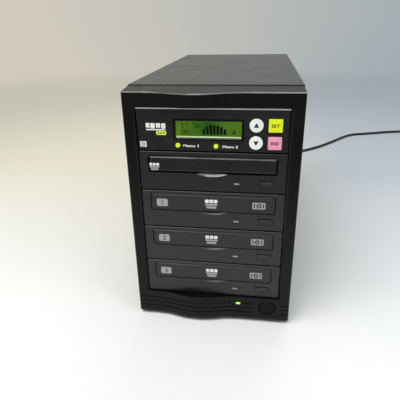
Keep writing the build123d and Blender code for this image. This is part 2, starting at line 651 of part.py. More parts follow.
def drive_cage():
    sides = []
    for side in (-1, 1):
        plate = span(sorted((side * CAGE_INNER, side * (CAGE_INNER + SHEET))),
                     (CAGE_FRONT, FRONT + CAGE_DEPTH), (FLOOR, TOP_INSIDE))
        flange = sorted((side * CAGE_INNER, side * (CAGE_INNER + CAGE_FLANGE)))
        plate += span(flange, (CAGE_FRONT, FRONT + CAGE_DEPTH), (FLOOR, FLOOR + SHEET))
        plate += span(flange, (CAGE_FRONT, FRONT + CAGE_DEPTH), (TOP_INSIDE - SHEET, TOP_INSIDE))
        for bay in DRIVES.values():
            for y in DRIVE_SCREW_Y:
                plate -= drive_screw_hole(side, FRONT + y, bay_z(bay) + DRIVE_SCREW_Z)
        sides.append(plate)
    return sides


def rubber_feet():
    places = [(i * (HALF_WIDTH - FOOT_INSET), y) for i in (-1, 1)
              for y in (FRONT + FOOT_END_INSET, REAR - FOOT_END_INSET)]
    feet = [post(x, y, (0, FOOT_HEIGHT), FOOT_RADIUS) for x, y in places]
    return [chamfer(foot.faces().sort_by(Axis.Z)[0].edges(), FOOT_EDGE) for foot in feet]


# ---------------------------------------------------------------- control panel
def key_outline(kind, grow):
    """Face of a key, grown by a gap or a flange."""
    if kind == "square":
        return RectangleRounded(SQUARE_KEY + 2 * grow, SQUARE_KEY_HEIGHT + 2 * grow, KEY_ROUNDING)
    return Circle((ROUND_KEY_RADIUS if kind == "round" else SMALL_KEY_RADIUS) + grow)


def control_panel():
    z = bay_z(0)
    back = FACE + PANEL_THICK
    outline = Pos(0, z + PANEL_RISE / 2) * Rectangle(FACE_WIDTH, FACE_HEIGHT + PANEL_RISE)
    plate = upright(outline, FACE, back)
    plate = chamfer(front_edges(plate), PANEL_EDGE)
    place = Pos(DISPLAY_X, z + DISPLAY_Z)
    window = place * Rectangle(WINDOW_WIDTH, WINDOW_HEIGHT)
    rim = place * Rectangle(WINDOW_WIDTH + 2 * WINDOW_BEVEL, WINDOW_HEIGHT + 2 * WINDOW_BEVEL)
    plate -= upright(window, FACE - 1, back + 1)
    plate -= loft([Plane.XZ.offset(-FACE) * rim, Plane.XZ.offset(-FACE - WINDOW_BEVEL) * window])
    for kind, x, rise in KEYS.values():
        plate -= upright(Pos(x, z + rise) * key_outline(kind, KEY_GAP), FACE - 1, back + 1)
    for side in (-1, 1):
        arm = sorted((side * (DRIVE_WIDTH / 2 - PANEL_ARM_WALL), side * DRIVE_WIDTH / 2))
        plate += span(arm, (back, back + PANEL_ARM), (z - BOARD_HEIGHT / 2, z + BOARD_HEIGHT / 2))
    return plate


def key(kind, x, rise):
    z = bay_z(0) + rise
    back = FACE + PANEL_THICK + KEY_SLACK
    cap = upright(Pos(x, z) * key_outline(kind, 0.0), FACE - KEY_PROUD, back)
    cap = chamfer(front_edges(cap), KEY_EDGE)
    grow = KEY_FLANGE / 2 if kind == "small" else KEY_FLANGE
    cap += upright(Pos(x, z) * key_outline(kind, grow), back, back + KEY_FLANGE_THICK)
    cap += bar(x, (back + KEY_FLANGE_THICK, switch_face() - KEY_TRAVEL - SWITCH_SLACK), z, KEY_STEM)
    return cap


def switch_face():
    """Front of the tact switches on the control board."""
    return FACE + PANEL_THICK + BOARD_BACK - SWITCH_HEIGHT


def controller_board():
    z = bay_z(0)
    front = FACE + PANEL_THICK + BOARD_BACK
    half = DRIVE_WIDTH / 2 - PANEL_ARM_WALL
    board = span((-half, half), (front, front + BOARD_THICK), (z - BOARD_HEIGHT / 2, z + BOARD_HEIGHT / 2))
    for kind, x, rise in KEYS.values():
        s = SWITCH_SIZE / 2
        board += span((x - s, x + s), (switch_face(), front), (z + rise - s, z + rise + s)) & \
            span((-half, half), (switch_face(), front), (z - BOARD_HEIGHT / 2, z + BOARD_HEIGHT / 2))
    for x, rise, wide, tall in CHIPS:
        board += span((x - wide / 2, x + wide / 2), (front + BOARD_THICK, front + 2 * BOARD_THICK),
                      (z + rise - tall / 2, z + rise + tall / 2))
    return board


def lcd_module():
    z = bay_z(0) + DISPLAY_Z
    back = FACE + PANEL_THICK
    frame = span((DISPLAY_X - DISPLAY_WIDTH / 2, DISPLAY_X + DISPLAY_WIDTH / 2), (back, back + DISPLAY_DEPTH),
                 (z - DISPLAY_HEIGHT / 2, z + DISPLAY_HEIGHT / 2))
    board = span((DISPLAY_X - DISPLAY_BOARD_WIDTH / 2, DISPLAY_X + DISPLAY_BOARD_WIDTH / 2),
                 (back + DISPLAY_DEPTH, back + DISPLAY_DEPTH + BOARD_THICK),
                 (z - DISPLAY_BOARD_HEIGHT / 2, z + DISPLAY_BOARD_HEIGHT / 2))
    return frame + board


def lcd_glass():
    z = bay_z(0) + DISPLAY_Z
    back = FACE + PANEL_THICK
    return upright(Pos(DISPLAY_X, z) * Rectangle(WINDOW_WIDTH, WINDOW_HEIGHT), back - GLASS_THICK, back)


# ---------------------------------------------------------------- drive fronts
def door_size(name):
    return READER_DOOR if name == "reader" else WRITER_DOOR


def eject_size(name):
    return READER_EJECT if name == "reader" else WRITER_EJECT


def lens_shape(z, y_front, y_back):
    return upright(Pos(LENS_X, z + LENS_Z) * Rectangle(LENS_WIDTH, LENS_HEIGHT), y_front, y_back)


def drive_bezel(name, z):
    height, rise = door_size(name)
    wide, tall = eject_size(name)
    plate = upright(Pos(0, z) * RectangleRounded(FACE_WIDTH, FACE_HEIGHT, FRONT_CORNER), FACE, SHELL_FRONT)
    plate = chamfer(front_edges(plate), FRONT_EDGE)
    opening = RectangleRounded(DOOR_WIDTH + 2 * DOOR_GAP, height + 2 * DOOR_GAP, DOOR_CORNER + DOOR_GAP)
    plate -= upright(Pos(0, z + rise) * opening, FACE - 1, SHELL_FRONT + 1)
    slot = RectangleRounded(wide + 2 * EJECT_GAP, tall + 2 * EJECT_GAP + EJECT_SLOT, EJECT_CORNER + EJECT_GAP)
    plate -= upright(Pos(EJECT_X, z + EJECT_Z + EJECT_SLOT / 2) * slot, FACE - 1, SHELL_FRONT + 1)
    plate -= lens_shape(z, FACE - 1, SHELL_FRONT + 1)
    plate -= bar(PINHOLE_X, (FACE - 1, SHELL_FRONT + 1), z + PINHOLE_Z, PINHOLE_RADIUS)
    scoop = Pos(0, FACE + SCOOP_DEPTH / 2, z + SCOOP_BOTTOM + SCOOP_RADIUS) * Rot(-90, 0, 0) * \
        Cone(SCOOP_RADIUS, SCOOP_RADIUS - SCOOP_DEPTH, SCOOP_DEPTH)
    below_door = z + rise - height / 2
    scoop &= span((-SCOOP_RADIUS, SCOOP_RADIUS), (FACE - 1, SHELL_FRONT), (z + SCOOP_BOTTOM - 1, below_door))
    return plate - scoop


def tray_door(name, z):
    height, rise = door_size(name)
    face = Pos(0, z + rise) * RectangleRounded(DOOR_WIDTH, height, DOOR_CORNER)
    door = upright(face, FACE, FACE + DOOR_THICK)
    if name == "reader":
        top = [e for e in front_edges(door).filter_by(Axis.X) if e.center().Z > z + rise]
        return fillet(top, READER_ROLL)
    return chamfer(front_edges(door), FRONT_EDGE)


def eject_button(name, z):
    wide, tall = eject_size(name)
    cap = upright(Pos(EJECT_X, z + EJECT_Z) * RectangleRounded(wide, tall, EJECT_CORNER),
                  FACE - EJECT_PROUD, FACE - EJECT_PROUD + EJECT_DEPTH)
    return chamfer(front_edges(cap), EJECT_EDGE)


# ---------------------------------------------------------------- drive mechanism
def tooth_halves(height, depth):
    """Half widths of a straight-sided tooth at its tip and at its root."""
    slope = math.tan(math.radians(PRESSURE_ANGLE))
    half = math.pi * GEAR_MODULE / 4 - TOOTH_BACKLASH / 2
    return half - slope * height, half + slope * depth


def rack(z):
    """Toothed strip on the tray's underside, teeth towards +X, a gap opposite the pinion."""
    pitch = math.pi * GEAR_MODULE
    height, depth = GEAR_MODULE * TOOTH_HEIGHT, GEAR_MODULE * TOOTH_DEPTH
    line = RACK_X + RACK_BACKING + depth
    tip, root = tooth_halves(height, depth)
    axis = FACE + PINION_BACK
    start, end = FACE + RACK_START, axis + TRAY_TRAVEL + RACK_RUN_OUT
    strip = span((RACK_X, RACK_X + RACK_BACKING), (start, end), (z - RACK_HEIGHT, z))
    first = math.ceil((start + root - axis) / pitch - 0.5)
    last = math.floor((end - root - axis) / pitch - 0.5)
    outline = []
    for index in range(first, last + 1):
        y = axis + (index + 0.5) * pitch
        outline += [(RACK_X + RACK_BACKING, y - root), (line + height, y - tip),
                    (line + height, y + tip), (RACK_X + RACK_BACKING, y + root)]
    outline += [(RACK_X + RACK_BACKING / 2, outline[-1][1]), (RACK_X + RACK_BACKING / 2, outline[0][1])]
    teeth = extrude(Pos(0, 0, z - RACK_HEIGHT) * make_face(Polyline(*outline, close=True)), RACK_HEIGHT)
    return strip + teeth


def pinion_place():
    """Pinion's axis: x and the depth behind the front plane."""
    line = RACK_X + RACK_BACKING + GEAR_MODULE * TOOTH_DEPTH
    return line + GEAR_MODULE * PINION_TEETH / 2, FACE + PINION_BACK


def loading_pinion(z):
    """Pinion under the tray; one tooth points at the rack."""
    x, y = pinion_place()
    pitch_radius = GEAR_MODULE * PINION_TEETH / 2
    height, depth = GEAR_MODULE * TOOTH_HEIGHT, GEAR_MODULE * TOOTH_DEPTH
    tip, root = tooth_halves(height, depth)
    outer, inner = pitch_radius + height, pitch_radius - depth
    outline = []
    for index in range(PINION_TEETH):
        angle = math.pi + index * 2 * math.pi / PINION_TEETH
        for radius, half in ((inner, -root), (outer, -tip), (outer, tip), (inner, root)):
            turn = angle + half / radius
            outline.append((x + radius * math.cos(turn), y + radius * math.sin(turn)))
    low = z + TRAY_BOTTOM - RACK_HEIGHT
    gear = extrude(Pos(0, 0, low) * make_face(Polyline(*outline, close=True)), RACK_HEIGHT - PINION_CLEAR)
    return gear - post(x, y, (low - 1, low + RACK_HEIGHT), POST_RADIUS + BEARING_GAP)


def tray(z):
    start = FACE + DOOR_THICK
    low = z + TRAY_BOTTOM
    spindle = FACE + SPINDLE_BACK
    body = span((-TRAY_WIDTH / 2, TRAY_WIDTH / 2), (start, start + TRAY_LENGTH), (low, low + TRAY_THICK))
    body -= post(0, spindle, (low + DISC_LEDGE, low + TRAY_THICK + 1), DISC_RADIUS)
    body -= post(0, spindle, (low + SMALL_DISC_LEDGE, low + TRAY_THICK + 1), SMALL_DISC_RADIUS)
    body -= post(0, spindle, (low - 1, low + TRAY_THICK), HUB_HOLE)
    body -= span((-SLOT_WIDTH / 2, SLOT_WIDTH / 2), (spindle, spindle + SLOT_END),
                 (low - 1, low + TRAY_THICK + 1))
    return body + rack(low)


def drive_shell(z):
    half, tall = DRIVE_WIDTH / 2, DRIVE_HEIGHT / 2
    back = SHELL_FRONT + DRIVE_DEPTH
    body = span((-half, half), (SHELL_FRONT, back), (z - tall, z + tall))
    body -= span((-half + SHEET, half - SHEET), (SHELL_FRONT - 1, back - SHEET),
                 (z - tall + SHEET, z + tall - SHEET))
    for side in (-1, 1):
        for y in DRIVE_SCREW_Y:
            body -= drive_screw_hole(side, FRONT + y, z + DRIVE_SCREW_Z)
    return body


def loader(z):
    """Moulded frame of one drive: plate, tray rails, pinion post and the seats of the mechanism."""
    floor = z - DRIVE_HEIGHT / 2 + SHEET
    inside = DRIVE_WIDTH / 2 - SHEET
    start, end = FACE + RAIL_START, FACE + RAIL_END
    low, high = z + TRAY_BOTTOM - RUNNING, z + TRAY_BOTTOM + TRAY_THICK + RUNNING
    wall = TRAY_WIDTH / 2 + RUNNING
    spindle = FACE + SPINDLE_BACK
    frame = span((-inside, inside), (start, end), (floor, floor + LOADER_PLATE))
    for side in (-1, 1):
        frame += span(sorted((side * wall, side * inside)), (start, end), (floor, high + RAIL_LIP_THICK))
        lip = sorted((side * (wall - RAIL_LIP), side * inside))
        frame += span(lip, (start, end), (low - RAIL_LIP_THICK, low))
        frame += span(lip, (start, end), (high, high + RAIL_LIP_THICK))
        for y in DRIVE_SCREW_Y:
            frame -= drive_screw_hole(side, FRONT + y, z + DRIVE_SCREW_Z)
    x, y = pinion_place()
    shoulder = z + TRAY_BOTTOM - RACK_HEIGHT - PINION_CLEAR
    frame += post(x, y, (floor, shoulder), SHOULDER_RADIUS)
    frame += post(x, y, (floor, shoulder + RACK_HEIGHT - PINION_CLEAR), POST_RADIUS)
    motor_bottom = z + MOTOR_TOP - MOTOR_HEIGHT
    frame += post(0, spindle, (floor, motor_bottom), MOTOR_RADIUS)
    near, far, _ = guide_blocks()
    wide = GUIDE_X + 2 * GUIDE_RADIUS
    for y in (near, far):
        frame += span((-wide, wide), (y, y + GUIDE_BLOCK), (floor, z + GUIDE_Z + 2 * GUIDE_RADIUS))
    for side in (-1, 1):
        frame -= guide_rod(side, z)
    return frame - motor_can(z)


def guide_blocks():
    """Front faces of the two blocks that hold the guide rods, and the sled's front edge between them."""
    near = FACE + SPINDLE_BACK + GUIDE_START
    sled = near + GUIDE_BLOCK + GUIDE_STOP
    return near, sled + PICKUP_LENGTH + PICKUP_TRAVEL + GUIDE_STOP, sled


def guide_rod(side, z):
    near, far, _ = guide_blocks()
    return bar(side * GUIDE_X, (near + GUIDE_END, far + GUIDE_BLOCK - GUIDE_END), z + GUIDE_Z, GUIDE_RADIUS)


def motor_can(z):
    top = z + MOTOR_TOP
    return post(0, FACE + SPINDLE_BACK, (top - MOTOR_HEIGHT, top), MOTOR_RADIUS)


def mechanism(z):
    """Fixed pieces that the moulded frame carries, as separate solids."""
    spindle = FACE + SPINDLE_BACK
    floor = z - DRIVE_HEIGHT / 2 + SHEET + LOADER_PLATE
    inside = DRIVE_WIDTH / 2 - SHEET
    motor = motor_can(z) - post(0, spindle, (z + MOTOR_TOP - MOTOR_HEIGHT - 1, z + MOTOR_TOP + 1),
                                SHAFT_RADIUS + BEARING_GAP)
    guides = [guide_rod(side, z) for side in (-1, 1)]
    loading_motor = post(LOADING_MOTOR_X, FACE + LOADING_MOTOR_BACK, (floor, floor + LOADING_MOTOR_HEIGHT),
                         LOADING_MOTOR_RADIUS)
    rail_top = z + TRAY_BOTTOM + TRAY_THICK + RUNNING + RAIL_LIP_THICK
    y = (spindle - CLAMP_WIDTH / 2, spindle + CLAMP_WIDTH / 2)
    clamp = span((-inside, inside), y, (z + CLAMP_TOP - CLAMP_THICK, z + CLAMP_TOP))
    for side in (-1, 1):
        clamp += span(sorted((side * (inside - CLAMP_EAR), side * inside)), y, (rail_top, z + CLAMP_TOP))
    underside = z + CLAMP_TOP - CLAMP_THICK
    puck = post(0, spindle, (underside - PUCK_HEIGHT, underside), PUCK_RADIUS)
    return [motor, *guides, loading_motor, clamp, puck]


def turntable(z):
    spindle = FACE + SPINDLE_BACK
    seat = z + MOTOR_TOP + TABLE_GAP
    body = post(0, spindle, (seat, seat + TABLE_THICK), TABLE_RADIUS)
    body += post(0, spindle, (seat, seat + TABLE_THICK + TABLE_HUB_HEIGHT), TABLE_HUB_RADIUS)
    shaft = (z + MOTOR_TOP - MOTOR_HEIGHT + SHAFT_END, seat + TABLE_THICK)
    return body + post(0, spindle, shaft, SHAFT_RADIUS)


def pickup(z):
    _, _, start = guide_blocks()
    low = z + GUIDE_Z - PICKUP_HEIGHT / 2
    end = start + PICKUP_LENGTH
    sled = span((-PICKUP_WIDTH / 2, PICKUP_WIDTH / 2), (start, end), (low, low + PICKUP_HEIGHT))
    for side in (-1, 1):
        sled -= bar(side * GUIDE_X, (start - 1, end + 1), z + GUIDE_Z, GUIDE_RADIUS + BEARING_GAP)
    return sled + post(0, start + PICKUP_LENS_BACK, (low, low + PICKUP_HEIGHT + PICKUP_LENS_HEIGHT),
                       PICKUP_LENS_RADIUS)


# ---------------------------------------------------------------- power supply and fans
def supply_case():
    half = SUPPLY_WIDTH / 2
    front = SUPPLY_FACE - SUPPLY_DEPTH
    body = span((-half, half), (front, SUPPLY_FACE), (FLOOR, FLOOR + SUPPLY_HEIGHT))
    body -= span((-half + SHEET, half - SHEET), (front + SHEET, SUPPLY_FACE - SHEET),
                 (FLOOR + SHEET, FLOOR + SUPPLY_HEIGHT - SHEET))
    body -= bar(SUPPLY_FAN_X, (SUPPLY_FACE - 2 * SHEET, SUPPLY_FACE + 1), SUPPLY_FAN_Z, FAN_HOLE_RADIUS)
    for x, z in fan_corners(SUPPLY_FAN_X, SUPPLY_FAN_Z) + supply_corners():
        body -= screw_hole(x, z, SUPPLY_FACE - 2 * SHEET, SUPPLY_FACE + 1)
    body -= upright(inlet_opening(), SUPPLY_FACE - 2 * SHEET, SUPPLY_FACE + 1)
    body -= upright(Pos(SWITCH_X, SWITCH_Z) * Rectangle(SWITCH_WIDTH, SWITCH_TALL),
                    SUPPLY_FACE - 2 * SHEET, SUPPLY_FACE + 1)
    return body


def fan_frame(x, z, seat):
    """Square frame with a round duct, three spokes and a boss that carries the rotor's shaft."""
    front = seat - FAN_DEPTH
    frame = upright(Pos(x, z) * RectangleRounded(FAN_SIZE, FAN_SIZE, FAN_CORNER), front, seat)
    frame -= bar(x, (front - 1, seat + 1), z, FAN_HOLE_RADIUS)
    for cx, cz in fan_corners(x, z):
        frame -= screw_hole(cx, cz, front - 1, seat + 1)
    for index in range(FAN_SPOKES):
        spoke = Pos(FAN_HOLE_RADIUS / 2, 0, 0) * Box(FAN_HOLE_RADIUS + 2, FAN_BOSS_THICK, FAN_SPOKE)
        angle = 30 + index * 360 / FAN_SPOKES
        frame += Pos(x, front + FAN_BOSS_THICK / 2, z) * Rot(0, angle, 0) * spoke
    frame += bar(x, (front, front + FAN_BOSS_THICK), z, FAN_BOSS_RADIUS)
    return frame - bar(x, (front - 1, front + FAN_BOSS_THICK + 1), z, FAN_SHAFT_RADIUS + BEARING_GAP)


def fan_rotor(x, z, seat):
    front = seat - FAN_DEPTH + FAN_BOSS_THICK + FAN_GAP
    depth = FAN_ROTOR_DEPTH
    body = bar(x, (front, front + depth), z, FAN_HUB_RADIUS)
    root, tip = FAN_HUB_RADIUS - FAN_BLADE_ROOT, FAN_ROTOR_RADIUS + FAN_BLADE_ROOT
    ring = bar(x, (front, front + depth), z, FAN_ROTOR_RADIUS)
    for index in range(FAN_BLADES):
        blade = Pos((root + tip) / 2, 0, 0) * Rot(FAN_BLADE_ANGLE, 0, 0) * \
            Box(tip - root, depth * 1.5, FAN_BLADE_THICK)
        blade = Pos(x, front + depth / 2, z) * Rot(0, index * 360 / FAN_BLADES, 0) * blade
        body += blade & ring
    return body + bar(x, (seat - FAN_DEPTH + SHAFT_END, front + 1), z, FAN_SHAFT_RADIUS)


def fan_guard(x, z, seat):
    """Wire finger guard: rings joined by two cross wires that end in eyes under the fan's screws."""
    y = seat + GUARD_WIRE
    eye = SCREW_RADIUS + SCREW_GAP + GUARD_WIRE
    reach = FAN_SCREW_SPACING * math.sqrt(0.5) - eye
    rings = [Pos(x, y, z) * Rot(90, 0, 0) * Torus(radius, GUARD_WIRE) for radius in GUARD_RINGS]
    rings += [Pos(cx, y, cz) * Rot(90, 0, 0) * Torus(eye, GUARD_WIRE) for cx, cz in fan_corners(x, z)]
    guard = Pos(x, y, z) * Rot(0, 45, 0) * Rot(0, 90, 0) * Cylinder(GUARD_WIRE, 2 * reach)
    guard += Pos(x, y, z) * Rot(0, 135, 0) * Rot(0, 90, 0) * Cylinder(GUARD_WIRE, 2 * reach)
    for ring in rings:
        guard += ring
    return guard


def inlet_opening():
    """Opening of the power supply that the inlet's body fills."""
    return Pos(INLET_X, INLET_Z) * Rectangle(INLET_WIDTH - 2 * INLET_LIP, INLET_HEIGHT - 2 * INLET_LIP)


def inlet_socket():
    """Mains inlet: a flanged body with a six-sided cavity and three blades."""
    flange = upright(Pos(INLET_X, INLET_Z) * RectangleRounded(INLET_WIDTH, INLET_HEIGHT, INLET_CORNER),
                     SUPPLY_FACE, SUPPLY_FACE + INLET_FLANGE)
    body = flange + upright(inlet_opening(), SUPPLY_FACE - INLET_BODY_DEPTH, SUPPLY_FACE)
    mouth = SUPPLY_FACE + INLET_FLANGE
    body -= nose_shape(PLUG_NOSE_GAP, mouth - INLET_CAVITY_DEPTH, mouth + 1)
    for x, z in blade_places():
        body += upright(Pos(x, z) * Rectangle(BLADE_WIDTH, BLADE_HEIGHT),
                        mouth - INLET_CAVITY_DEPTH - 1, mouth - INLET_CAVITY_DEPTH + BLADE_LENGTH)
    return body


def blade_places():
    return [(INLET_X - BLADE_SPACING, INLET_Z - BLADE_RISE), (INLET_X, INLET_Z + BLADE_RISE),
            (INLET_X + BLADE_SPACING, INLET_Z - BLADE_RISE)]


def nose_shape(grow, y_front, y_back):
    """Rectangle with its two upper corners cut, as the mains connector has."""
    w, h = PLUG_NOSE_WIDTH / 2 + grow, PLUG_NOSE_HEIGHT / 2 + grow
    w_top, h_side = w - PLUG_NOSE_CHAMFER, h - PLUG_NOSE_CHAMFER
    face = make_face(Polyline((-w, -h), (w, -h), (w, h_side), (w_top, h), (-w_top, h), (-w, h_side), close=True))
    return upright(Pos(INLET_X, INLET_Z) * face, y_front, y_back)


def switch_frame():
    outer = RectangleRounded(SWITCH_WIDTH + 2 * SWITCH_FRAME, SWITCH_TALL + 2 * SWITCH_FRAME, 1.0)
    frame = upright(Pos(SWITCH_X, SWITCH_Z) * outer, SUPPLY_FACE, SUPPLY_FACE + INLET_FLANGE)
    frame += upright(Pos(SWITCH_X, SWITCH_Z) * Rectangle(SWITCH_WIDTH, SWITCH_TALL),
                     SUPPLY_FACE - SWITCH_BODY_DEPTH, SUPPLY_FACE)
    well = Rectangle(SWITCH_WIDTH - 2 * SWITCH_WALL, SWITCH_TALL - 2 * SWITCH_WALL)
    frame -= upright(Pos(SWITCH_X, SWITCH_Z) * well, SUPPLY_FACE - SWITCH_BODY_DEPTH + SWITCH_FLOOR,
                     SUPPLY_FACE + INLET_FLANGE + 1)
    half = SWITCH_WIDTH / 2 - SWITCH_WALL / 2
    return frame - pin((SWITCH_X - half, SWITCH_X + half), rocker_axis(), SWITCH_Z, ROCKER_PIN + BEARING_GAP)


def rocker_axis():
    return SUPPLY_FACE - ROCKER_DEPTH


def rocker():
    """Rocker whose face is two flats that meet over its pin, tilted to its on position."""
    half = SWITCH_TALL / 2 - SWITCH_WALL - 2.5 * ROCKER_GAP
    tilt = math.tan(math.radians(ROCKER_TILT))
    nose = SUPPLY_FACE + INLET_FLANGE + ROCKER_PROUD
    heel, waist, brow = rocker_axis() - ROCKER_HEEL, SUPPLY_FACE - 1, nose + half * tilt
    lower = [(heel, -half * ROCKER_TAPER), (waist, -half), (brow, -half), (nose, 0)]
    upper = [(y, -rise) for y, rise in reversed(lower[:3])]
    outline = Pos(0, SWITCH_Z) * Polyline(*lower, *upper, close=True)
    width = SWITCH_WIDTH - 2 * SWITCH_WALL - 2 * ROCKER_GAP
    body = extrude(Plane.YZ.offset(SWITCH_X - width / 2) * make_face(outline), width)
    reach = SWITCH_WIDTH / 2 - SWITCH_WALL / 2 - ROCKER_END
    body += pin((SWITCH_X - reach, SWITCH_X + reach), rocker_axis(), SWITCH_Z, ROCKER_PIN)
    axis = Axis((SWITCH_X, rocker_axis(), SWITCH_Z), (1, 0, 0))
    return body.rotate(axis, -ROCKER_TILT)


# ---------------------------------------------------------------- mains lead
def connector_end():
    """Where the lead's free stretch starts: the end of the connector's strain relief."""
    return SUPPLY_FACE + INLET_FLANGE + CONNECTOR_GAP + CONNECTOR_LENGTH + RELIEF_LENGTH


def cord_connector():
    mouth = SUPPLY_FACE + INLET_FLANGE
    outline = RectangleRounded(CONNECTOR_WIDTH, CONNECTOR_HEIGHT, CONNECTOR_CORNER)
    shoulder = mouth + CONNECTOR_GAP
    shell = upright(Pos(INLET_X, INLET_Z) * outline, shoulder, shoulder + CONNECTOR_LENGTH)
    shell = chamfer(shell.faces().sort_by(Axis.Y)[-1].edges(), CONNECTOR_CORNER)
    shell += nose_shape(0.0, mouth - INLET_CAVITY_DEPTH + 1, mouth + 1)
    for x, z in blade_places():
        shell -= upright(Pos(x, z) * Rectangle(BLADE_WIDTH + 2 * BLADE_SLACK, BLADE_HEIGHT + 2 * BLADE_SLACK),
                         mouth - INLET_CAVITY_DEPTH - 1, mouth)
    start = shoulder + CONNECTOR_LENGTH
    relief = Pos(INLET_X, start + RELIEF_LENGTH / 2, INLET_Z) * Rot(-90, 0, 0) * \
        Cone(RELIEF_RADIUS, CORD_DIAMETER / 2 + RELIEF_WALL, RELIEF_LENGTH)
    return shell + relief


def cord_route():
    """The lead from the connector to the coil: out, down to the table, and round to the right."""
    z = CORD_DIAMETER / 2
    x, y = COIL_CENTRE
    return [
        (INLET_X, connector_end(), INLET_Z),
        (INLET_X, connector_end() + CORD_OUT, INLET_Z),
        (54, 306, 35),
        (62, 348, z),
        (85, 402, z),
        (118, 450, z),
        (157, 487, z),
        (196, 519, z),
        (241, 573, z),
        (277, 622, z),
        (304, 657, z),
        (335, 673, z),
        (374, 684, z),
        (421, 703, z),
        (468, 714, z),
        (x - 22, y + COIL_RADIUS, z),
        (x, y + COIL_RADIUS, z),
    ]


def route_radii(points):
    """Largest tangent arc that each corner's runs leave room for."""
    radii = []
    for before, here, after in zip(points, points[1:], points[2:]):
        a, b = Vector(*here) - Vector(*before), Vector(*after) - Vector(*here)
        turn = math.radians(a.get_angle(b))
        radii.append(0.45 * min(a.length, b.length) / math.tan(turn / 2))
    return radii


def tube(path, radius):
    start = path @ 0
    return sweep(Plane(start, z_dir=path % 0) * Circle(radius), path=path)


def cord():
    points = cord_route()
    radii = route_radii(points)
    print("cord radii", [round(r, 1) for r in radii])
    path = FilletPolyline(*points, radius=radii)
    solid = tube(path, CORD_DIAMETER / 2)
    section = math.pi * CORD_DIAMETER ** 2 / 4
    print("cord length", round(path.length, 1), "volume over section", round(solid.volume / section, 1))
    return solid


def coil_stations():
    """Points every half turn, their headings, and the lead's height: in below, then out above."""
    x, y = COIL_CENTRE
    stations = []
    for index in range(COIL_TURNS_IN + COIL_TURNS_OUT + 2):
        lower = index <= COIL_TURNS_IN
        steps = index if lower else 2 * COIL_TURNS_IN + 1 - index
        radius = COIL_RADIUS - steps * COIL_STEP / 2
        z = CORD_DIAMETER / 2 + (0 if lower else COIL_LAYER)
        side = 1 if index % 2 == 0 else -1
        stations.append((Vector(x, y + side * radius, z), Vector(side, 0, 0)))
    return stations


def half_turn(start, end):
    """Two quarter arcs that leave and arrive along the given headings."""
    (p, heading), (q, _) = start, end
    middle = (p + q) * 0.5 + heading * ((q - p).length / 2)
    first = TangentArc(p, middle, tangent=heading)
    return [first, TangentArc(middle, q, tangent=first % 1)]


def coil_edges():
    stations = coil_stations()
    edges = []
    for start, end in zip(stations, stations[1:]):
        edges += half_turn(start, end)
    last, heading = stations[-1]
    edges.append(Line(last, last + heading * CORD_DIAMETER))
    return edges


def least_gap(edges, samples=16):
    """Smallest gap of the coil to itself, measured on points more than a quarter turn apart."""
    points = [e @ (i / samples) for e in edges for i in range(samples)]
    skip = 2 * samples
    least = min((a - b).length for i, a in enumerate(points) for b in points[i + skip:])
    return least - CORD_DIAMETER


def cord_coil():
    edges = coil_edges()
    path = Wire(edges)
    print("coil length", round(path.length, 1), "least gap", round(least_gap(edges), 2))
    return tube(path, CORD_DIAMETER / 2)


def mains_plug():
    """Flat plug that lies on the table, its lead leaving at half its height."""
    last, heading = coil_stations()[-1]
    axis = last.Z
    x = last.X + CORD_DIAMETER
    relief = Pos(x + RELIEF_LENGTH / 2, last.Y, axis) * Rot(0, 90, 0) * \
        Cone(CORD_DIAMETER / 2 + RELIEF_WALL, PLUG_RELIEF_RADIUS, RELIEF_LENGTH)
    x += RELIEF_LENGTH
    half = MAINS_PLUG_WIDTH / 2
    body = span((x, x + MAINS_PLUG_LENGTH), (last.Y - half, last.Y + half), (0, 2 * axis))
    body = fillet(body.faces().sort_by(Axis.X)[0].edges(), MAINS_PLUG_ROUNDING)
    thick, tall, length = MAINS_BLADE
    low = axis - MAINS_BLADE_DROP
    tip = (x + MAINS_PLUG_LENGTH - MAINS_ROOT, x + MAINS_PLUG_LENGTH + length)
    for side in (-1, 1):
        y = last.Y + side * MAINS_BLADE_SPACING / 2
        body += span(tip, (y - thick / 2, y + thick / 2), (low, low + tall))
    body += pin(tip, last.Y, axis - MAINS_EARTH_DROP, MAINS_EARTH_RADIUS)
    return relief + body


# ---------------------------------------------------------------- write every node
os.makedirs("parts", exist_ok=True)

save("chassis", chassis())
save("drive_cage", *drive_cage())
save("cover", cover())
save("front_bezel", front_bezel())
save("power_button", power_button())
save("power_lamp", lamp_shape(FRONT - LAMP_PROUD, FRONT - LAMP_PROUD + LAMP_DEPTH))
save("feet", *rubber_feet())
save("screws", *screws())

save("control_panel", control_panel())
save("controller_board", controller_board())
save("lcd_module", lcd_module())
save("lcd_glass", lcd_glass())
for key_name, (key_kind, key_x, key_rise) in KEYS.items():
    save(key_name, key(key_kind, key_x, key_rise))

centres = [bay_z(bay) for bay in DRIVES.values()]
save("drive_shells", *[drive_shell(z) for z in centres])
save("drive_loaders", *[solid for z in centres for solid in [loader(z), *mechanism(z)]])
save("drive_lamps", *[lens_shape(z, FACE - LENS_PROUD, SHELL_FRONT + LENS_REACH) for z in centres])
for drive_name, centre in zip(DRIVES, centres):
    save(drive_name + "_bezel", drive_bezel(drive_name, centre))
    save(drive_name + "_door", tray_door(drive_name, centre))
    save(drive_name + "_tray", tray(centre))
    save(drive_name + "_eject", eject_button(drive_name, centre))
    save(drive_name + "_pinion", loading_pinion(centre))
    save(drive_name + "_turntable", turntable(centre))
    save(drive_name + "_pickup", pickup(centre))

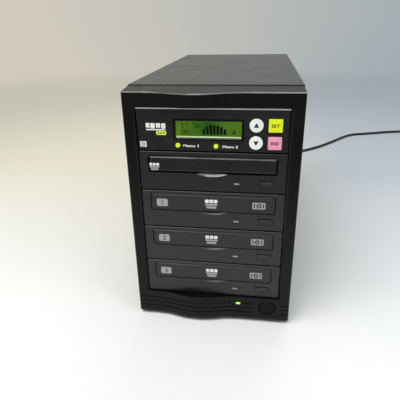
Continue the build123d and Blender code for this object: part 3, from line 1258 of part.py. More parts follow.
save("supply_case", supply_case())
save("inlet_and_switch_frame", inlet_socket(), switch_frame())
save("supply_rocker", rocker())
case_fan = (0, CASE_FAN_Z)
supply_fan = (SUPPLY_FAN_X, SUPPLY_FAN_Z)
save("fan_frames", fan_frame(*case_fan, SUPPLY_FACE), fan_frame(*supply_fan, SUPPLY_FACE - SHEET))
save("case_fan_rotor", fan_rotor(*case_fan, SUPPLY_FACE))
save("supply_fan_rotor", fan_rotor(*supply_fan, SUPPLY_FACE - SHEET))
save("fan_guards", fan_guard(*case_fan, PANEL_BACK), fan_guard(*supply_fan, SUPPLY_FACE))

save("cord_connector", cord_connector())
save("cord", cord())
save("cord_coil", cord_coil())
save("cord_plug", mains_plug())
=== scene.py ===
"""Looks of a disc duplicator tower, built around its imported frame.

Metres, +Z up, +X to the right seen from the front, and the front faces -Y.
"""
import json
import math

import bmesh
import bpy
from mathutils import Matrix, Vector


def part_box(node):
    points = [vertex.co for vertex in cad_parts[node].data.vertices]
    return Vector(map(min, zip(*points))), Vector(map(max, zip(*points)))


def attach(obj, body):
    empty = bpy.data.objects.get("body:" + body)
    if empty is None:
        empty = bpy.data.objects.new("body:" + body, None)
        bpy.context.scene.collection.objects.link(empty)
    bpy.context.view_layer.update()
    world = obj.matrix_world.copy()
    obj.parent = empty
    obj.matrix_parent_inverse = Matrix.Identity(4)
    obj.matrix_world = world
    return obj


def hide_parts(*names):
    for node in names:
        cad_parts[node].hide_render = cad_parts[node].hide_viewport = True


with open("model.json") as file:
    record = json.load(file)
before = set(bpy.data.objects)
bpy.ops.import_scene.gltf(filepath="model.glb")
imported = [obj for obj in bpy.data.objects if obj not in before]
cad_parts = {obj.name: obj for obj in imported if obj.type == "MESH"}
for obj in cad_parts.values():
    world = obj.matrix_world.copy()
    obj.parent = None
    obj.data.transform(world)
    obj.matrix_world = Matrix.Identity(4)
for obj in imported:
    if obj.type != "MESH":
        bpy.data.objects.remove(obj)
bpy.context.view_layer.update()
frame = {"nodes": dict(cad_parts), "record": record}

MM = 0.001
SKIN = 0.05 * MM              # a print's thickness
DRIVES = ("reader", "writer_1", "writer_2", "writer_3")


def mm(*lengths):
    """Lengths in millimetres, as metres."""
    return tuple(length * MM for length in lengths)


def centre(node):
    """Middle of a node in x and in z, and the y of its front."""
    lo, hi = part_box(node)
    return (lo.x + hi.x) / 2, (lo.z + hi.z) / 2, lo.y


def put_in_scene(name, data):
    made = bpy.data.objects.new(name, data)
    bpy.context.scene.collection.objects.link(made)
    return made


# ---------------------------------------------------------------- camera, as in the photograph
CAMERA_PLACE = (0.0469, -0.5762, 0.3274)
CAMERA_YAW = 8.696            # degrees, as are the tilt from level and the roll
CAMERA_TILT = -23.946
CAMERA_ROLL = -1.136
CAMERA_LENS = 36.85           # millimetres, as is the sensor's width
CAMERA_SENSOR = 36.0


def photo_camera():
    data = bpy.data.cameras.new("camera")
    data.lens = CAMERA_LENS
    data.sensor_width = CAMERA_SENSOR
    camera = put_in_scene("camera", data)
    turn = Matrix.Rotation(math.radians(CAMERA_YAW), 4, "Z")
    tilt = Matrix.Rotation(math.radians(90 + CAMERA_TILT), 4, "X")
    roll = Matrix.Rotation(math.radians(CAMERA_ROLL), 4, "Z")
    camera.matrix_world = Matrix.Translation(CAMERA_PLACE) @ turn @ tilt @ roll
    bpy.context.scene.camera = camera


# ---------------------------------------------------------------- shader building
MIX_A, MIX_B, MIX_RESULT = 6, 7, 2   # colour sockets of a Mix node
NOISE_RANGE = (0.3, 0.7)      # nearly all of a noise lies between these
AGREE_RANGE = (0.995, 0.85)   # rounded and true normal, on flat ground and at a sharp edge


def put(tree, socket, value):
    """Links another socket to this one, or sets a constant on it."""
    if isinstance(value, bpy.types.NodeSocket):
        tree.links.new(value, socket)
    else:
        socket.default_value = value


def add_node(tree, kind, inputs=None, **settings):
    made = tree.nodes.new(kind)
    for key, value in settings.items():
        setattr(made, key, value)
    for key, value in (inputs or {}).items():
        put(tree, made.inputs[key], value)
    return made


class Shader:
    """A material's node tree, built a node at a time around its Principled shader."""

    def __init__(self, name):
        self.material = bpy.data.materials.new(name)
        self.material.use_nodes = True
        self.tree = self.material.node_tree
        self.bsdf = self.tree.nodes["Principled BSDF"]
        self.place = self.node("ShaderNodeTexCoord").outputs["Object"]

    def node(self, kind, inputs=None, **settings):
        return add_node(self.tree, kind, inputs, **settings)

    def set(self, **sockets):
        """Constants and links of the Principled shader, by socket name with _ for a space."""
        for key, value in sockets.items():
            put(self.tree, self.bsdf.inputs[key.replace("_", " ")], value)

    def axis(self, letter, vector=None):
        """One coordinate of a vector, or of the place on the object."""
        whole = self.place if vector is None else vector
        return self.node("ShaderNodeSeparateXYZ", {"Vector": whole}).outputs[letter]

    def noise(self, size_mm, detail=2.0, stretch=(1, 1, 1)):
        """Smooth noise whose features are about size_mm across, stretched along each axis."""
        scale = self.node("ShaderNodeMapping", {"Vector": self.place, "Scale": [1 / s for s in stretch]})
        made = self.node("ShaderNodeTexNoise", {
            "Vector": scale.outputs[0], "Scale": 1 / (size_mm * MM), "Detail": detail, "Roughness": 0.55})
        return made.outputs[0]

    def cells(self, size_mm):
        return self.node("ShaderNodeTexVoronoi", {"Vector": self.place, "Scale": 1 / (size_mm * MM)})

    def spread(self, value, low, high, to_low=0.0, to_high=1.0):
        """From to_low, at low, to to_high, at high, and level beyond them."""
        made = self.node("ShaderNodeMapRange", {
            "Value": value, "From Min": low, "From Max": high, "To Min": to_low, "To Max": to_high})
        return made.outputs[0]

    def vary(self, noise, to_low=0.0, to_high=1.0):
        return self.spread(noise, *NOISE_RANGE, to_low, to_high)

    def math(self, operation, a, b=0.0):
        return self.node("ShaderNodeMath", {0: a, 1: b}, operation=operation).outputs[0]

    def mix(self, share, a, b):
        """Colour between a and b, which are links or colours of three numbers."""
        a, b = (c if isinstance(c, bpy.types.NodeSocket) else (*c, 1) for c in (a, b))
        made = self.node("ShaderNodeMix", {"Factor": share, MIX_A: a, MIX_B: b}, data_type="RGBA")
        return made.outputs[MIX_RESULT]

    def round_edges(self, radius_mm):
        return self.node("ShaderNodeBevel", {"Radius": radius_mm * MM}, samples=4).outputs[0]

    def edge_mask(self, bevel):
        """1 along sharp edges and 0 on flat ground."""
        normal = self.node("ShaderNodeNewGeometry").outputs["Normal"]
        agree = self.node("ShaderNodeVectorMath", {0: bevel, 1: normal}, operation="DOT_PRODUCT")
        return self.spread(agree.outputs["Value"], *AGREE_RANGE)

    def bump(self, height, depth_mm, normal=None):
        inputs = {"Height": height, "Distance": depth_mm * MM}
        if normal is not None:
            inputs["Normal"] = normal
        return self.node("ShaderNodeBump", inputs).outputs[0]


def tinted(colour, factor):
    return tuple(min(1.0, c * factor) for c in colour)


# ---------------------------------------------------------------- materials
BLOTCH_SIZE = 28              # sizes of a surface's uneven shade, its scuffed and highlit edges, and its painted crest highlight, millimetres
WEAR_AND_SHEEN_SIZE = 4
CREST_HIGHLIGHT_SIZE = 35
SPECK_TINT = 1.25             # lighter grain on a surface
WEAR_AND_SHEEN_LIFT = 0.10              # how far an edge goes towards white: scuffing and a painted edge highlight
CREST_RAMP = 0.5 * MM         # height over which a crest's painted highlight sets in
ROLL_STEEP = (0.15, 0.40)     # upward share of the normal where the painted highlight sets in
ROLL_LEVEL = (0.92, 0.78)     # and where it has died away again


def crest_polish(s, crest):
    """Painted highlight: how bright the rounded edges above a height are painted."""
    rise = s.axis("Z", s.node("ShaderNodeNewGeometry").outputs["Normal"])
    rolled = s.math("MULTIPLY", s.spread(rise, *ROLL_STEEP), s.spread(rise, *ROLL_LEVEL))
    highlight_share = s.math("MULTIPLY", rolled, s.spread(s.axis("Z"), crest, crest + CREST_RAMP))
    return s.math("MULTIPLY", highlight_share, s.spread(s.noise(CREST_HIGHLIGHT_SIZE, 2.0), 0.35, 0.65, 0.35, 1.0))


def surface(name, colour, rough, grain=0.5, depth=0.02, shade=0.15, smudge=0.06, edge=0.3, wear=0.25,
            crest=None, crest_colour=(0.30, 0.30, 0.29), **sockets):
    """Moulded or coated surface: uneven shade and gloss, fine grain, and scuffed edges with a painted
    highlight.

    grain and edge are sizes in millimetres, and depth is the height of the grain in millimetres.
    shade and smudge say how far colour and roughness vary, and the edges' lift how far edges are
    lightened, partly by scuffs and partly as a painted edge highlight. Where crest, a height in metres, is
    given, the rounded edges above it are painted in the crest's colour: a painted highlight. The rest are
    the shader's sockets.
    """
    s = Shader(name)
    blotch = s.noise(BLOTCH_SIZE, 3.0)
    fine = s.noise(grain, 2.0)
    bevel = s.round_edges(edge)
    # edges lightened: partly scuffing, partly a painted edge highlight
    rubbed_and_sheen = s.math("MULTIPLY", s.edge_mask(bevel), s.spread(s.noise(WEAR_AND_SHEEN_SIZE, 3.0), 0.35, 0.7, 0.2, wear))
    tone = s.mix(s.vary(blotch), tinted(colour, 1 - shade), tinted(colour, 1 + shade))
    speck = s.mix(s.spread(fine, 0.35, 0.75), tone, tinted(colour, SPECK_TINT))
    worn_and_sheen = tuple(c + WEAR_AND_SHEEN_LIFT * (1 - c) for c in colour)
    tone = s.mix(rubbed_and_sheen, speck, worn_and_sheen)
    # painted highlight along the rounded edges above the crest
    if crest is not None:
        tone = s.mix(crest_polish(s, crest), tone, crest_colour)
    gloss = s.math("ADD", s.vary(blotch, rough - smudge, rough + smudge), s.vary(fine, -0.03, 0.03))
    s.set(Base_Color=tone, Roughness=gloss, Normal=s.bump(fine, depth, bevel), **sockets)
    return s.material


def zinc_steel():
    """Galvanised sheet: overlapping crystal spangle and faint rolling lines."""
    s = Shader("zinc_sheet")
    spangle = s.cells(9)
    lines = s.noise(1.2, 2.0, (1, 30, 1))
    crystal = s.spread(spangle.outputs["Color"], 0.0, 1.0, 0.25, 0.75)
    tone = s.mix(crystal, (0.42, 0.43, 0.44), (0.64, 0.65, 0.66))
    gloss = s.math("ADD", s.spread(crystal, 0.25, 0.75, 0.32, 0.46), s.vary(lines, -0.04, 0.04))
    s.set(Base_Color=tone, Metallic=1.0, Roughness=gloss, Normal=s.bump(lines, 0.004, s.round_edges(0.3)))
    return s.material


def metal(name, colour, rough, stretch=(1, 12, 1)):
    """Bare or plated metal with fine drawn lines."""
    s = Shader(name)
    lines = s.noise(0.35, 2.0, stretch)
    stain = s.noise(9, 3.0)
    tone = s.mix(s.vary(stain), tinted(colour, 0.86), tinted(colour, 1.06))
    gloss = s.math("ADD", s.vary(stain, rough, rough + 0.12), s.vary(lines, -0.05, 0.05))
    s.set(Base_Color=tone, Metallic=1.0, Roughness=gloss, Normal=s.bump(lines, 0.006, s.round_edges(0.15)))
    return s.material


def speckled_film():
    """Printed film of the control panel: near black with a fine pale speckle and a light gloss."""
    s = Shader("speckled_film")
    fine = s.spread(s.noise(0.45, 1.0), 0.60, 0.72)
    coarse = s.spread(s.noise(1.5, 2.0), 0.58, 0.74)
    cloud = s.noise(24, 3.0)
    bevel = s.round_edges(0.5)
    ground = s.mix(s.vary(cloud), (0.0045, 0.0045, 0.0050), (0.0085, 0.0085, 0.0090))
    dusted = s.mix(s.math("MULTIPLY", s.math("MAXIMUM", fine, coarse), 0.16), ground, (0.20, 0.20, 0.21))
    # the edges are painted lighter: a painted edge highlight
    s.set(Base_Color=s.mix(s.math("MULTIPLY", s.edge_mask(bevel), 0.08), dusted, (0.4, 0.4, 0.4)))
    s.set(Roughness=s.vary(cloud, 0.24, 0.36), Normal=s.bump(fine, 0.004, bevel), Specular_IOR_Level=0.32)
    return s.material


def glow(name, colour, strength, faint_colour):
    """Lit lens or light strip: cloudy between two colours, with a glossy face."""
    s = Shader(name)
    tone = s.mix(s.spread(s.noise(14, 2.0), 0.35, 0.65), faint_colour, colour)
    s.set(Base_Color=s.mix(0.7, tone, (0.02, 0.02, 0.02)), Emission_Color=tone, Emission_Strength=strength)
    s.set(Roughness=s.vary(s.noise(3, 2.0), 0.25, 0.33), Coat_Weight=0.6, Coat_Roughness=0.08)
    return s.material


def backlight():
    """Display's backlight: yellow-green, greener in the middle and a little darker at the top."""
    s = Shader("backlight")
    lo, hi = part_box("lcd_glass")
    across = s.math("ABSOLUTE", s.math("SUBTRACT", s.axis("X"), (lo.x + hi.x) / 2))
    drift = s.spread(s.noise(16, 2.0), 0.35, 0.65, 0.72, 0.99)
    tone = s.mix(s.spread(across, *mm(3, 24)), (0.013, 0.072, 0.006), (0.072, 0.165, 0.0005))
    tone = s.mix(s.spread(s.axis("Z"), lo.z, hi.z, 0.0, 0.25), tone, (0.018, 0.085, 0.004))
    s.set(Base_Color=(0.02, 0.05, 0.01, 1))
    s.set(Emission_Color=s.mix(drift, (0, 0, 0), tone), Emission_Strength=1.0)
    s.set(Roughness=s.vary(s.noise(5, 2.0), 0.10, 0.18), Specular_IOR_Level=0.15)
    return s.material


def circuit_board():
    """Solder mask with traces and tinned pads."""
    s = Shader("circuit_board")
    brick = s.node("ShaderNodeTexBrick", {
        "Vector": s.place, "Scale": 220.0, "Mortar Size": 0.06, "Color1": (0.010, 0.075, 0.025, 1),
        "Color2": (0.014, 0.095, 0.032, 1), "Mortar": (0.03, 0.17, 0.06, 1)})
    pads = s.spread(s.cells(3.2).outputs["Distance"], 0.16, 0.13)
    s.set(Base_Color=s.mix(pads, brick.outputs["Color"], (0.62, 0.62, 0.6)))
    s.set(Roughness=s.spread(pads, 0, 1, 0.35, 0.2), Normal=s.bump(brick.outputs["Fac"], 0.03))
    return s.material


def lead_plastic():
    """Flexible vinyl: soft sheen, faint scuffs and dust."""
    s = Shader("lead_vinyl")
    scuff = s.noise(5, 4.0)
    tone = s.mix(s.spread(scuff, 0.45, 0.75, 0.0, 0.5), (0.008, 0.008, 0.009), (0.045, 0.045, 0.048))
    s.set(Base_Color=tone, Roughness=s.vary(scuff, 0.38, 0.55), Normal=s.bump(s.noise(0.7, 2.0), 0.015))
    return s.material


CREST_ABOVE = 8 * MM          # over the control panel: the front's top edge, painted with a highlight

SURFACES = {                  # by the record's slot, then for single nodes and the scene's own pieces
    "cover_steel": dict(
        name="powder_coat", colour=(0.012, 0.012, 0.011), rough=0.36, grain=0.9, depth=0.012,
        shade=0.10, smudge=0.04, edge=0.6, wear=0.30, Specular_IOR_Level=0.72),
    # edges painted lighter for scuffs and highlight, and a painted highlight along the top edge
    "front_plastic": dict(
        name="front_moulding", colour=(0.0020, 0.0020, 0.0018), rough=0.26, grain=0.5, depth=0.006,
        shade=0.10, smudge=0.05, edge=0.6, wear=0.32, crest=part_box("control_panel")[1].z + CREST_ABOVE,
        Specular_IOR_Level=0.20),
    "drive_plastic": dict(
        name="drive_moulding", colour=(0.0085, 0.0085, 0.0075), rough=0.36, grain=0.45, depth=0.012,
        shade=0.10, smudge=0.05, edge=0.2, wear=0.05, Specular_IOR_Level=0.52),
    "tray_plastic": dict(
        name="tray_moulding", colour=(0.016, 0.016, 0.016), rough=0.40, grain=0.5, depth=0.015,
        edge=0.4),
    "loader_plastic": dict(
        name="loader_moulding", colour=(0.02, 0.02, 0.02), rough=0.5, grain=0.6, depth=0.02),
    "foot_rubber": dict(
        name="foot_rubber", colour=(0.012, 0.012, 0.012), rough=0.75, grain=0.9, depth=0.05, shade=0.3),
    "white_key": dict(
        name="white_key", colour=(0.98, 0.98, 0.82), rough=0.38, grain=0.4, depth=0.006, shade=0.03,
        wear=0.1, edge=0.4, Subsurface_Weight=0.08),
    "yellow_key": dict(
        name="yellow_key", colour=(0.88, 0.99, 0.004), rough=0.38, grain=0.4, depth=0.006, shade=0.04,
        edge=0.4, Subsurface_Weight=0.08),
    "pink_key": dict(
        name="pink_key", colour=(0.99, 0.34, 0.47), rough=0.38, grain=0.4, depth=0.006, shade=0.04,
        edge=0.4, Subsurface_Weight=0.08),
    "lime_key": dict(
        name="lime_key", colour=(0.78, 1.0, 0.02), rough=0.35, grain=0.4, depth=0.006, shade=0.04,
        edge=0.3),
    "gear_plastic": dict(
        name="acetal", colour=(0.78, 0.76, 0.68), rough=0.4, grain=0.6, depth=0.01, shade=0.05),
    "socket_plastic": dict(
        name="socket_moulding", colour=(0.012, 0.012, 0.013), rough=0.26, grain=0.7, depth=0.008,
        edge=0.3),
    "fan_plastic": dict(
        name="fan_moulding", colour=(0.013, 0.013, 0.014), rough=0.42, grain=0.5, depth=0.015, edge=0.4),
    "drive_lamp": dict(
        name="lamp_lens", colour=(0.34, 0.33, 0.27), rough=0.2, grain=0.5, depth=0.01, edge=0.15),
    # the door's rounded top is painted bright: a painted highlight
    "reader_door": dict(
        name="reader_door", colour=(0.0042, 0.0042, 0.0040), rough=0.24, grain=0.45, depth=0.010,
        shade=0.12, edge=0.3, wear=0.1, crest=0.0, crest_colour=(0.15, 0.15, 0.145),
        Specular_IOR_Level=0.40),
    "reader_bezel": dict(
        name="reader_bezel", colour=(0.0060, 0.0060, 0.0054), rough=0.34, grain=0.45, depth=0.012,
        shade=0.10, edge=0.2, wear=0.05, Specular_IOR_Level=0.42),
    "button": dict(
        name="button_moulding", colour=(0.0024, 0.0024, 0.0022), rough=0.24, grain=0.5, depth=0.005,
        edge=0.5, wear=0.25, Specular_IOR_Level=0.13),
    # pale strip standing for the highlight on the panel's top edge: a painted highlight
    "panel_glint": dict(
        name="painted_panel_glint", colour=(0.86, 0.86, 0.85), rough=0.3, grain=0.4, depth=0.003, shade=0.1,
        wear=0.1, edge=0.2),
    # the scoop's pale grey is a painted reflection; its low roughness is real gloss
    "scoop": dict(
        name="scoop_gloss_and_painted_sheen", colour=(0.13, 0.13, 0.125), rough=0.17, grain=0.5, depth=0.002, edge=0.1,
        wear=0.05),
    "gloss_black": dict(
        name="gloss_black", colour=(0.0015, 0.0015, 0.0015), rough=0.3, grain=0.6, depth=0.002,
        edge=0.2, wear=0.02, Specular_IOR_Level=0.05),
}
OWN_MATERIALS = {"power_button": "button", "reader_door": "reader_door", "reader_bezel": "reader_bezel"}

INKS = {
    "ink_pale": (0.80, 0.80, 0.72),
    "ink_bright": (0.72, 0.75, 0.72),
    "ink_grey": (0.33, 0.35, 0.33),
    "ink_dark": (0.045, 0.05, 0.045),
    "ink_black": (0.010, 0.010, 0.010),
    "ink_olive": (0.012, 0.015, 0.002),
    "ink_maroon": (0.035, 0.006, 0.010),
    "ink_lime": (0.72, 0.90, 0.06),
    "ink_blue": (0.10, 0.12, 0.35),
    "sticker": (0.72, 0.68, 0.78),
}


def print_ink(name, colour, rough=0.5, **sockets):
    return surface(name, colour, rough, grain=0.3, depth=0.004, shade=0.05, smudge=0.03,
                   edge=0.02, wear=0.0, **sockets)


def make_materials():
    """Materials by the record's slots, and those of single nodes and of the scene's own pieces."""
    made = {slot: surface(**look) for slot, look in SURFACES.items()}
    made.update({name: print_ink(name, colour) for name, colour in INKS.items()})
    made.update({
        "ink_lcd": print_ink("ink_lcd", (0.001, 0.004, 0.001), 0.3, Specular_IOR_Level=0.1),
        "painted_shade_black": print_ink("painted_shade_black", (0.001, 0.001, 0.001), 0.9, Specular_IOR_Level=0.0),
        "case_steel": zinc_steel(),
        "screw_steel": metal("plated_steel", (0.62, 0.62, 0.64), 0.22),
        "turntable_metal": metal("turned_steel", (0.55, 0.55, 0.56), 0.25, (1, 1, 1)),
        "pickup_metal": metal("cast_alloy", (0.42, 0.43, 0.44), 0.45, (1, 1, 1)),
        "panel_plastic": speckled_film(),
        "circuit_board": circuit_board(),
        "display_glass": backlight(),
        "green_lamp": glow("green_glow", (0.42, 1.0, 0.10), 1.3, (0.25, 0.8, 0.03)),
        "light_strip": glow("light_strip", (0.60, 0.72, 0.38), 0.8, (0.50, 0.62, 0.30)),
        "lead_plastic": lead_plastic(),
    })
    return made


def dress_cad_nodes(materials):
    """Every CAD node gets the material of its slot in the record, apart from three with their own."""
    slots = {row["node"]: row["material_slot"] for row in frame["record"]["subparts"]}
    for name, node in frame["nodes"].items():
        material = materials[OWN_MATERIALS.get(name, slots[name])]
        if not node.material_slots:
            node.data.materials.append(material)
        for slot in node.material_slots:
            slot.material = material


# ---------------------------------------------------------------- mesh building
SMOOTH_ANGLE = 35             # degrees
LETTER_BOLD = 0.028           # as a share of the letters' size
LETTER_DEPTH = 0.02


def circle(x, z, radius, count=48):
    steps = [2 * math.pi * i / count for i in range(count)]
    return [(x + radius * math.cos(a), z + radius * math.sin(a)) for a in steps]


def round_box(x, z, width, height, radius, count=6):
    """Outline of a rounded rectangle centred on x and z, anticlockwise from its lower right corner."""
    outline = []
    for i, j, start in ((1, -1, 270), (1, 1, 0), (-1, 1, 90), (-1, -1, 180)):
        cx, cz = x + i * (width / 2 - radius), z + j * (height / 2 - radius)
        for step in range(count + 1):
            a = math.radians(start + 90 * step / count)
            outline.append((cx + radius * math.cos(a), cz + radius * math.sin(a)))
    return outline


def add_prism(bm, outline, y_front, y_back, index=0):
    """Solid between two copies of an outline given in x and z, in metres."""
    front = [bm.verts.new((x, y_front, z)) for x, z in outline]
    back = [bm.verts.new((x, y_back, z)) for x, z in outline]
    faces = [bm.faces.new(front), bm.faces.new(list(reversed(back)))]
    for i in range(len(outline)):
        j = (i + 1) % len(outline)
        faces.append(bm.faces.new((front[j], front[i], back[i], back[j])))
    for face in faces:
        face.material_index = index


def add_ring(bm, outer, inner, y_front, y_back, index=0):
    """Solid between two outlines with as many points each, one inside the other."""
    rows = []
    for outline, y in ((outer, y_front), (inner, y_front), (inner, y_back), (outer, y_back)):
        rows.append([bm.verts.new((x, y, z)) for x, z in outline])
    count = len(outer)
    for k in range(4):
        a, b = rows[k], rows[(k + 1) % 4]
        for i in range(count):
            j = (i + 1) % count
            bm.faces.new((a[i], a[j], b[j], b[i])).material_index = index


def add_print(bm, outline, y, index=0):
    """Print a skin thick, in front of y."""
    add_prism(bm, outline, y - SKIN, y, index)


def add_piece(name, bm, body, slot, *materials):
    """Makes a piece that rides on a body and takes the materials given; its slot is not used."""
    bmesh.ops.recalc_face_normals(bm, faces=bm.faces)
    mesh = bpy.data.meshes.new(name)
    bm.to_mesh(mesh)
    bm.free()
    for material in materials:
        mesh.materials.append(material)
    piece = put_in_scene(name, mesh)
    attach(piece, body)
    return piece


def smooth(mesh):
    mesh.shade_smooth()
    mesh.set_sharp_from_angle(angle=math.radians(SMOOTH_ANGLE))


def text_into(bm, words, x, y, z, height, index=0, width=None):
    """Adds upright lettering centred on x and z, its face at y and a skin thick."""
    curve = bpy.data.curves.new("words", "FONT")
    curve.body = words
    curve.offset = LETTER_BOLD
    curve.extrude = LETTER_DEPTH
    curve.resolution_u = 3
    shape = put_in_scene("words", curve)
    mesh = bpy.data.meshes.new_from_object(shape.evaluated_get(bpy.context.evaluated_depsgraph_get()))
    low = [min(v.co[k] for v in mesh.vertices) for k in range(2)]
    high = [max(v.co[k] for v in mesh.vertices) for k in range(2)]
    size_z = height / (high[1] - low[1])
    size_x = width / (high[0] - low[0]) if width else size_z
    middle = [(a + b) / 2 for a, b in zip(low, high)]
    verts = []
    for v in mesh.vertices:
        across = x + (v.co.x - middle[0]) * size_x
        up = z + (v.co.y - middle[1]) * size_z
        verts.append(bm.verts.new((across, y if v.co.z > 0 else y + SKIN, up)))
    for polygon in mesh.polygons:
        bm.faces.new([verts[i] for i in polygon.vertices]).material_index = index
    bpy.data.objects.remove(shape)
    bpy.data.meshes.remove(mesh)
    bpy.data.curves.remove(curve)


# ---------------------------------------------------------------- mains lead
CORD_DIAMETER = 6.6           # millimetres, as are the route and the coil
LIE = CORD_DIAMETER / 2       # height of the lead's middle on the floor
EXIT = (52, 238.5, 66)
ROUTE = [
    EXIT,
    (52, 265.5, 66),
    (54, 306, 35),
    (62, 348, LIE),
    (85, 402, LIE),
    (118, 450, LIE),
    (157, 487, LIE),
    (196, 519, LIE),
    (241, 573, LIE),
    (277, 622, LIE),
    (304, 657, LIE),
    (335, 673, LIE),
    (374, 684, LIE),
    (421, 703, LIE),
    (468, 714, LIE),
    (493, 722, LIE),
]
COIL_CENTRE = (515, 679.5)
COIL_RADIUS = 42.5            # middle of the outermost turn
COIL_STEP = 8.3               # between neighbouring turns
COIL_LAYER = 7.8              # between the two layers
HALF_TURNS_LOWER = 4
HALF_TURNS_UPPER = 5
COIL_POINTS = 8               # spline points in each half turn


def coil_points():
    """Spline points of the coil: spirals in on the floor, climbs a layer, and spirals out again."""
    x, y = mm(*COIL_CENTRE)
    stations = []
    for index in range(HALF_TURNS_LOWER + HALF_TURNS_UPPER + 2):
        lower = index <= HALF_TURNS_LOWER
        steps = index if lower else 2 * HALF_TURNS_LOWER + 1 - index
        radius = (COIL_RADIUS - steps * COIL_STEP / 2) * MM
        z = (LIE + (0 if lower else COIL_LAYER)) * MM
        side = 1 if index % 2 == 0 else -1
        stations.append((side, radius, z))
    points = []
    fuller = 1 / math.cos(math.pi / (2 * COIL_POINTS))   # the spline runs inside its points
    for (side, radius, z), (_, after, z_after) in zip(stations, stations[1:]):
        middle = y + side * (radius - after) / 2
        reach = side * (radius + after) / 2 * fuller
        for step in range(COIL_POINTS):
            share = (step + 0.5) / COIL_POINTS
            a = math.pi * share
            rise = (z_after - z) * share
            points.append((x + reach * math.sin(a), middle + reach * math.cos(a), z + rise))
    side, radius, z = stations[-1]
    end_y = y + side * radius
    points.append((x, end_y, z))
    points.append((x + CORD_DIAMETER * MM, end_y, z))
    return points


def power_cord(materials):
    """The lead as one curve, with the plug's details and the strain reliefs on it."""
    data = bpy.data.curves.new("power_cord", "CURVE")
    data.dimensions = "3D"
    data.bevel_depth = CORD_DIAMETER / 2 * MM
    data.bevel_resolution = 6
    data.resolution_u = 8
    data.use_fill_caps = True
    points = [mm(*point) for point in ROUTE] + coil_points()
    spline = data.splines.new("NURBS")
    spline.points.add(len(points) - 1)
    for target, point in zip(spline.points, points):
        target.co = (*point, 1.0)
    spline.order_u = 3
    spline.use_endpoint_u = True
    data.materials.append(materials["lead_plastic"])
    cord = put_in_scene("power_cord", data)
    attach(cord, "case")
    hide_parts("cord", "cord_coil")
    exit_point = Vector(EXIT) * MM
    lo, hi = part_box("cord_plug")
    pieces = plug_details(materials)
    root = exit_point - Vector((0, RELIEF_LENGTH, 0))
    pieces.append(relief_ribs("connector_relief_ribs", root, (0, 1, 0), CONNECTOR_RELIEF, materials))
    root = Vector((lo.x + RELIEF_LENGTH, (lo.y + hi.y) / 2, (lo.z + hi.z) / 2))
    pieces.append(relief_ribs("plug_relief_ribs", root, (-1, 0, 0), PLUG_RELIEF, materials))


RELIEF_LENGTH = 24 * MM
RELIEF_RIBS = 6
RIB_OFFSET = 0.6              # first rib from the root, in rib pitches
RIB_SPARE = 0.5               # bare end of the relief, in rib pitches
RIB_WIDTH = 2.0 * MM
RIB_PROUD = 0.55 * MM
RIB_SUNK = 0.4 * MM           # a rib's inside, under the relief's thin end
RIB_EDGE = 0.3 * MM
CONNECTOR_RELIEF = mm(5.2, 3.7)   # radius at the moulding, and at the lead
PLUG_RELIEF = mm(4.4, 3.7)


def relief_ribs(name, root, direction, radii, materials):
    """Moulded rings round a tapered strain relief, from its root along its direction."""
    bm = bmesh.new()
    pitch = RELIEF_LENGTH / (RELIEF_RIBS + RIB_SPARE)
    for rib in range(RELIEF_RIBS):
        start = (rib + RIB_OFFSET) * pitch
        radius = radii[0] + (radii[1] - radii[0]) * start / RELIEF_LENGTH + RIB_PROUD
        inner = circle(0, 0, radii[1] - RIB_SUNK, 40)
        add_ring(bm, circle(0, 0, radius, 40), inner, start, start + RIB_WIDTH)
    turn = Vector((0, 1, 0)).rotation_difference(Vector(direction)).to_matrix().to_4x4()
    bmesh.ops.transform(bm, matrix=Matrix.Translation(root) @ turn, verts=bm.verts)
    ribs = add_piece(name, bm, "case", "lead_plastic", materials["lead_plastic"])
    smooth(ribs.data)
    bevel = ribs.modifiers.new("soft_edges", "BEVEL")
    bevel.width = RIB_EDGE
    bevel.segments = 2
    return ribs


BLADE = mm(1.5, 6.3, 17.0)    # thickness, height and length
BLADE_SPACING = 12.7 * MM
BLADE_DROP = 1.15 * MM        # lower edge of the blades below the plug's middle
BLADE_CORNER = 0.9 * MM
EARTH_RADIUS = 2.4 * MM
EARTH_DROP = 5.6 * MM
PLATING = 0.06 * MM
GRIP_RIDGES = 5
GRIP_PITCH = 4.2 * MM
GRIP_START = 8 * MM           # first ridge from the blades' root
GRIP_SIZE = mm(1.8, 14)
GRIP_CORNER = 0.8 * MM
GRIP_PROUD = 0.5 * MM


def plug_details(materials):
    """Plated blades and earth pin of the plug, and the ridges that its sides are gripped by."""
    lo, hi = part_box("cord_plug")
    thick, tall, length = BLADE
    root, middle_y, middle_z = hi.x - length, (lo.y + hi.y) / 2, (lo.z + hi.z) / 2
    bm = bmesh.new()
    low = middle_z - BLADE_DROP
    for side in (-1, 1):
        y = middle_y + side * BLADE_SPACING / 2
        outline = round_box((root + hi.x) / 2, low + tall / 2, length + 2 * PLATING, tall + 2 * PLATING,
                            BLADE_CORNER, 4)
        add_prism(bm, outline, y - thick / 2 - PLATING, y + thick / 2 + PLATING)
    first = len(bm.verts)
    add_prism(bm, circle(0, 0, EARTH_RADIUS + PLATING, 32), 0, length + PLATING)
    bm.verts.ensure_lookup_table()
    place = Matrix.Translation((root, middle_y, middle_z - EARTH_DROP))
    bmesh.ops.transform(bm, matrix=place @ Matrix.Rotation(-math.pi / 2, 4, "Z"), verts=bm.verts[first:])
    blades = add_piece("plug_blades", bm, "case", "screw_steel", materials["screw_steel"])
    smooth(blades.data)
    bm = bmesh.new()
    for ridge in range(GRIP_RIDGES):
        outline = round_box(root - GRIP_START - ridge * GRIP_PITCH, middle_z, *GRIP_SIZE, GRIP_CORNER)
        for y in (lo.y, hi.y):
            add_prism(bm, outline, y - GRIP_PROUD, y + GRIP_PROUD)
    grip = add_piece("plug_grip", bm, "case", "lead_plastic", materials["lead_plastic"])
    return [blades, grip]


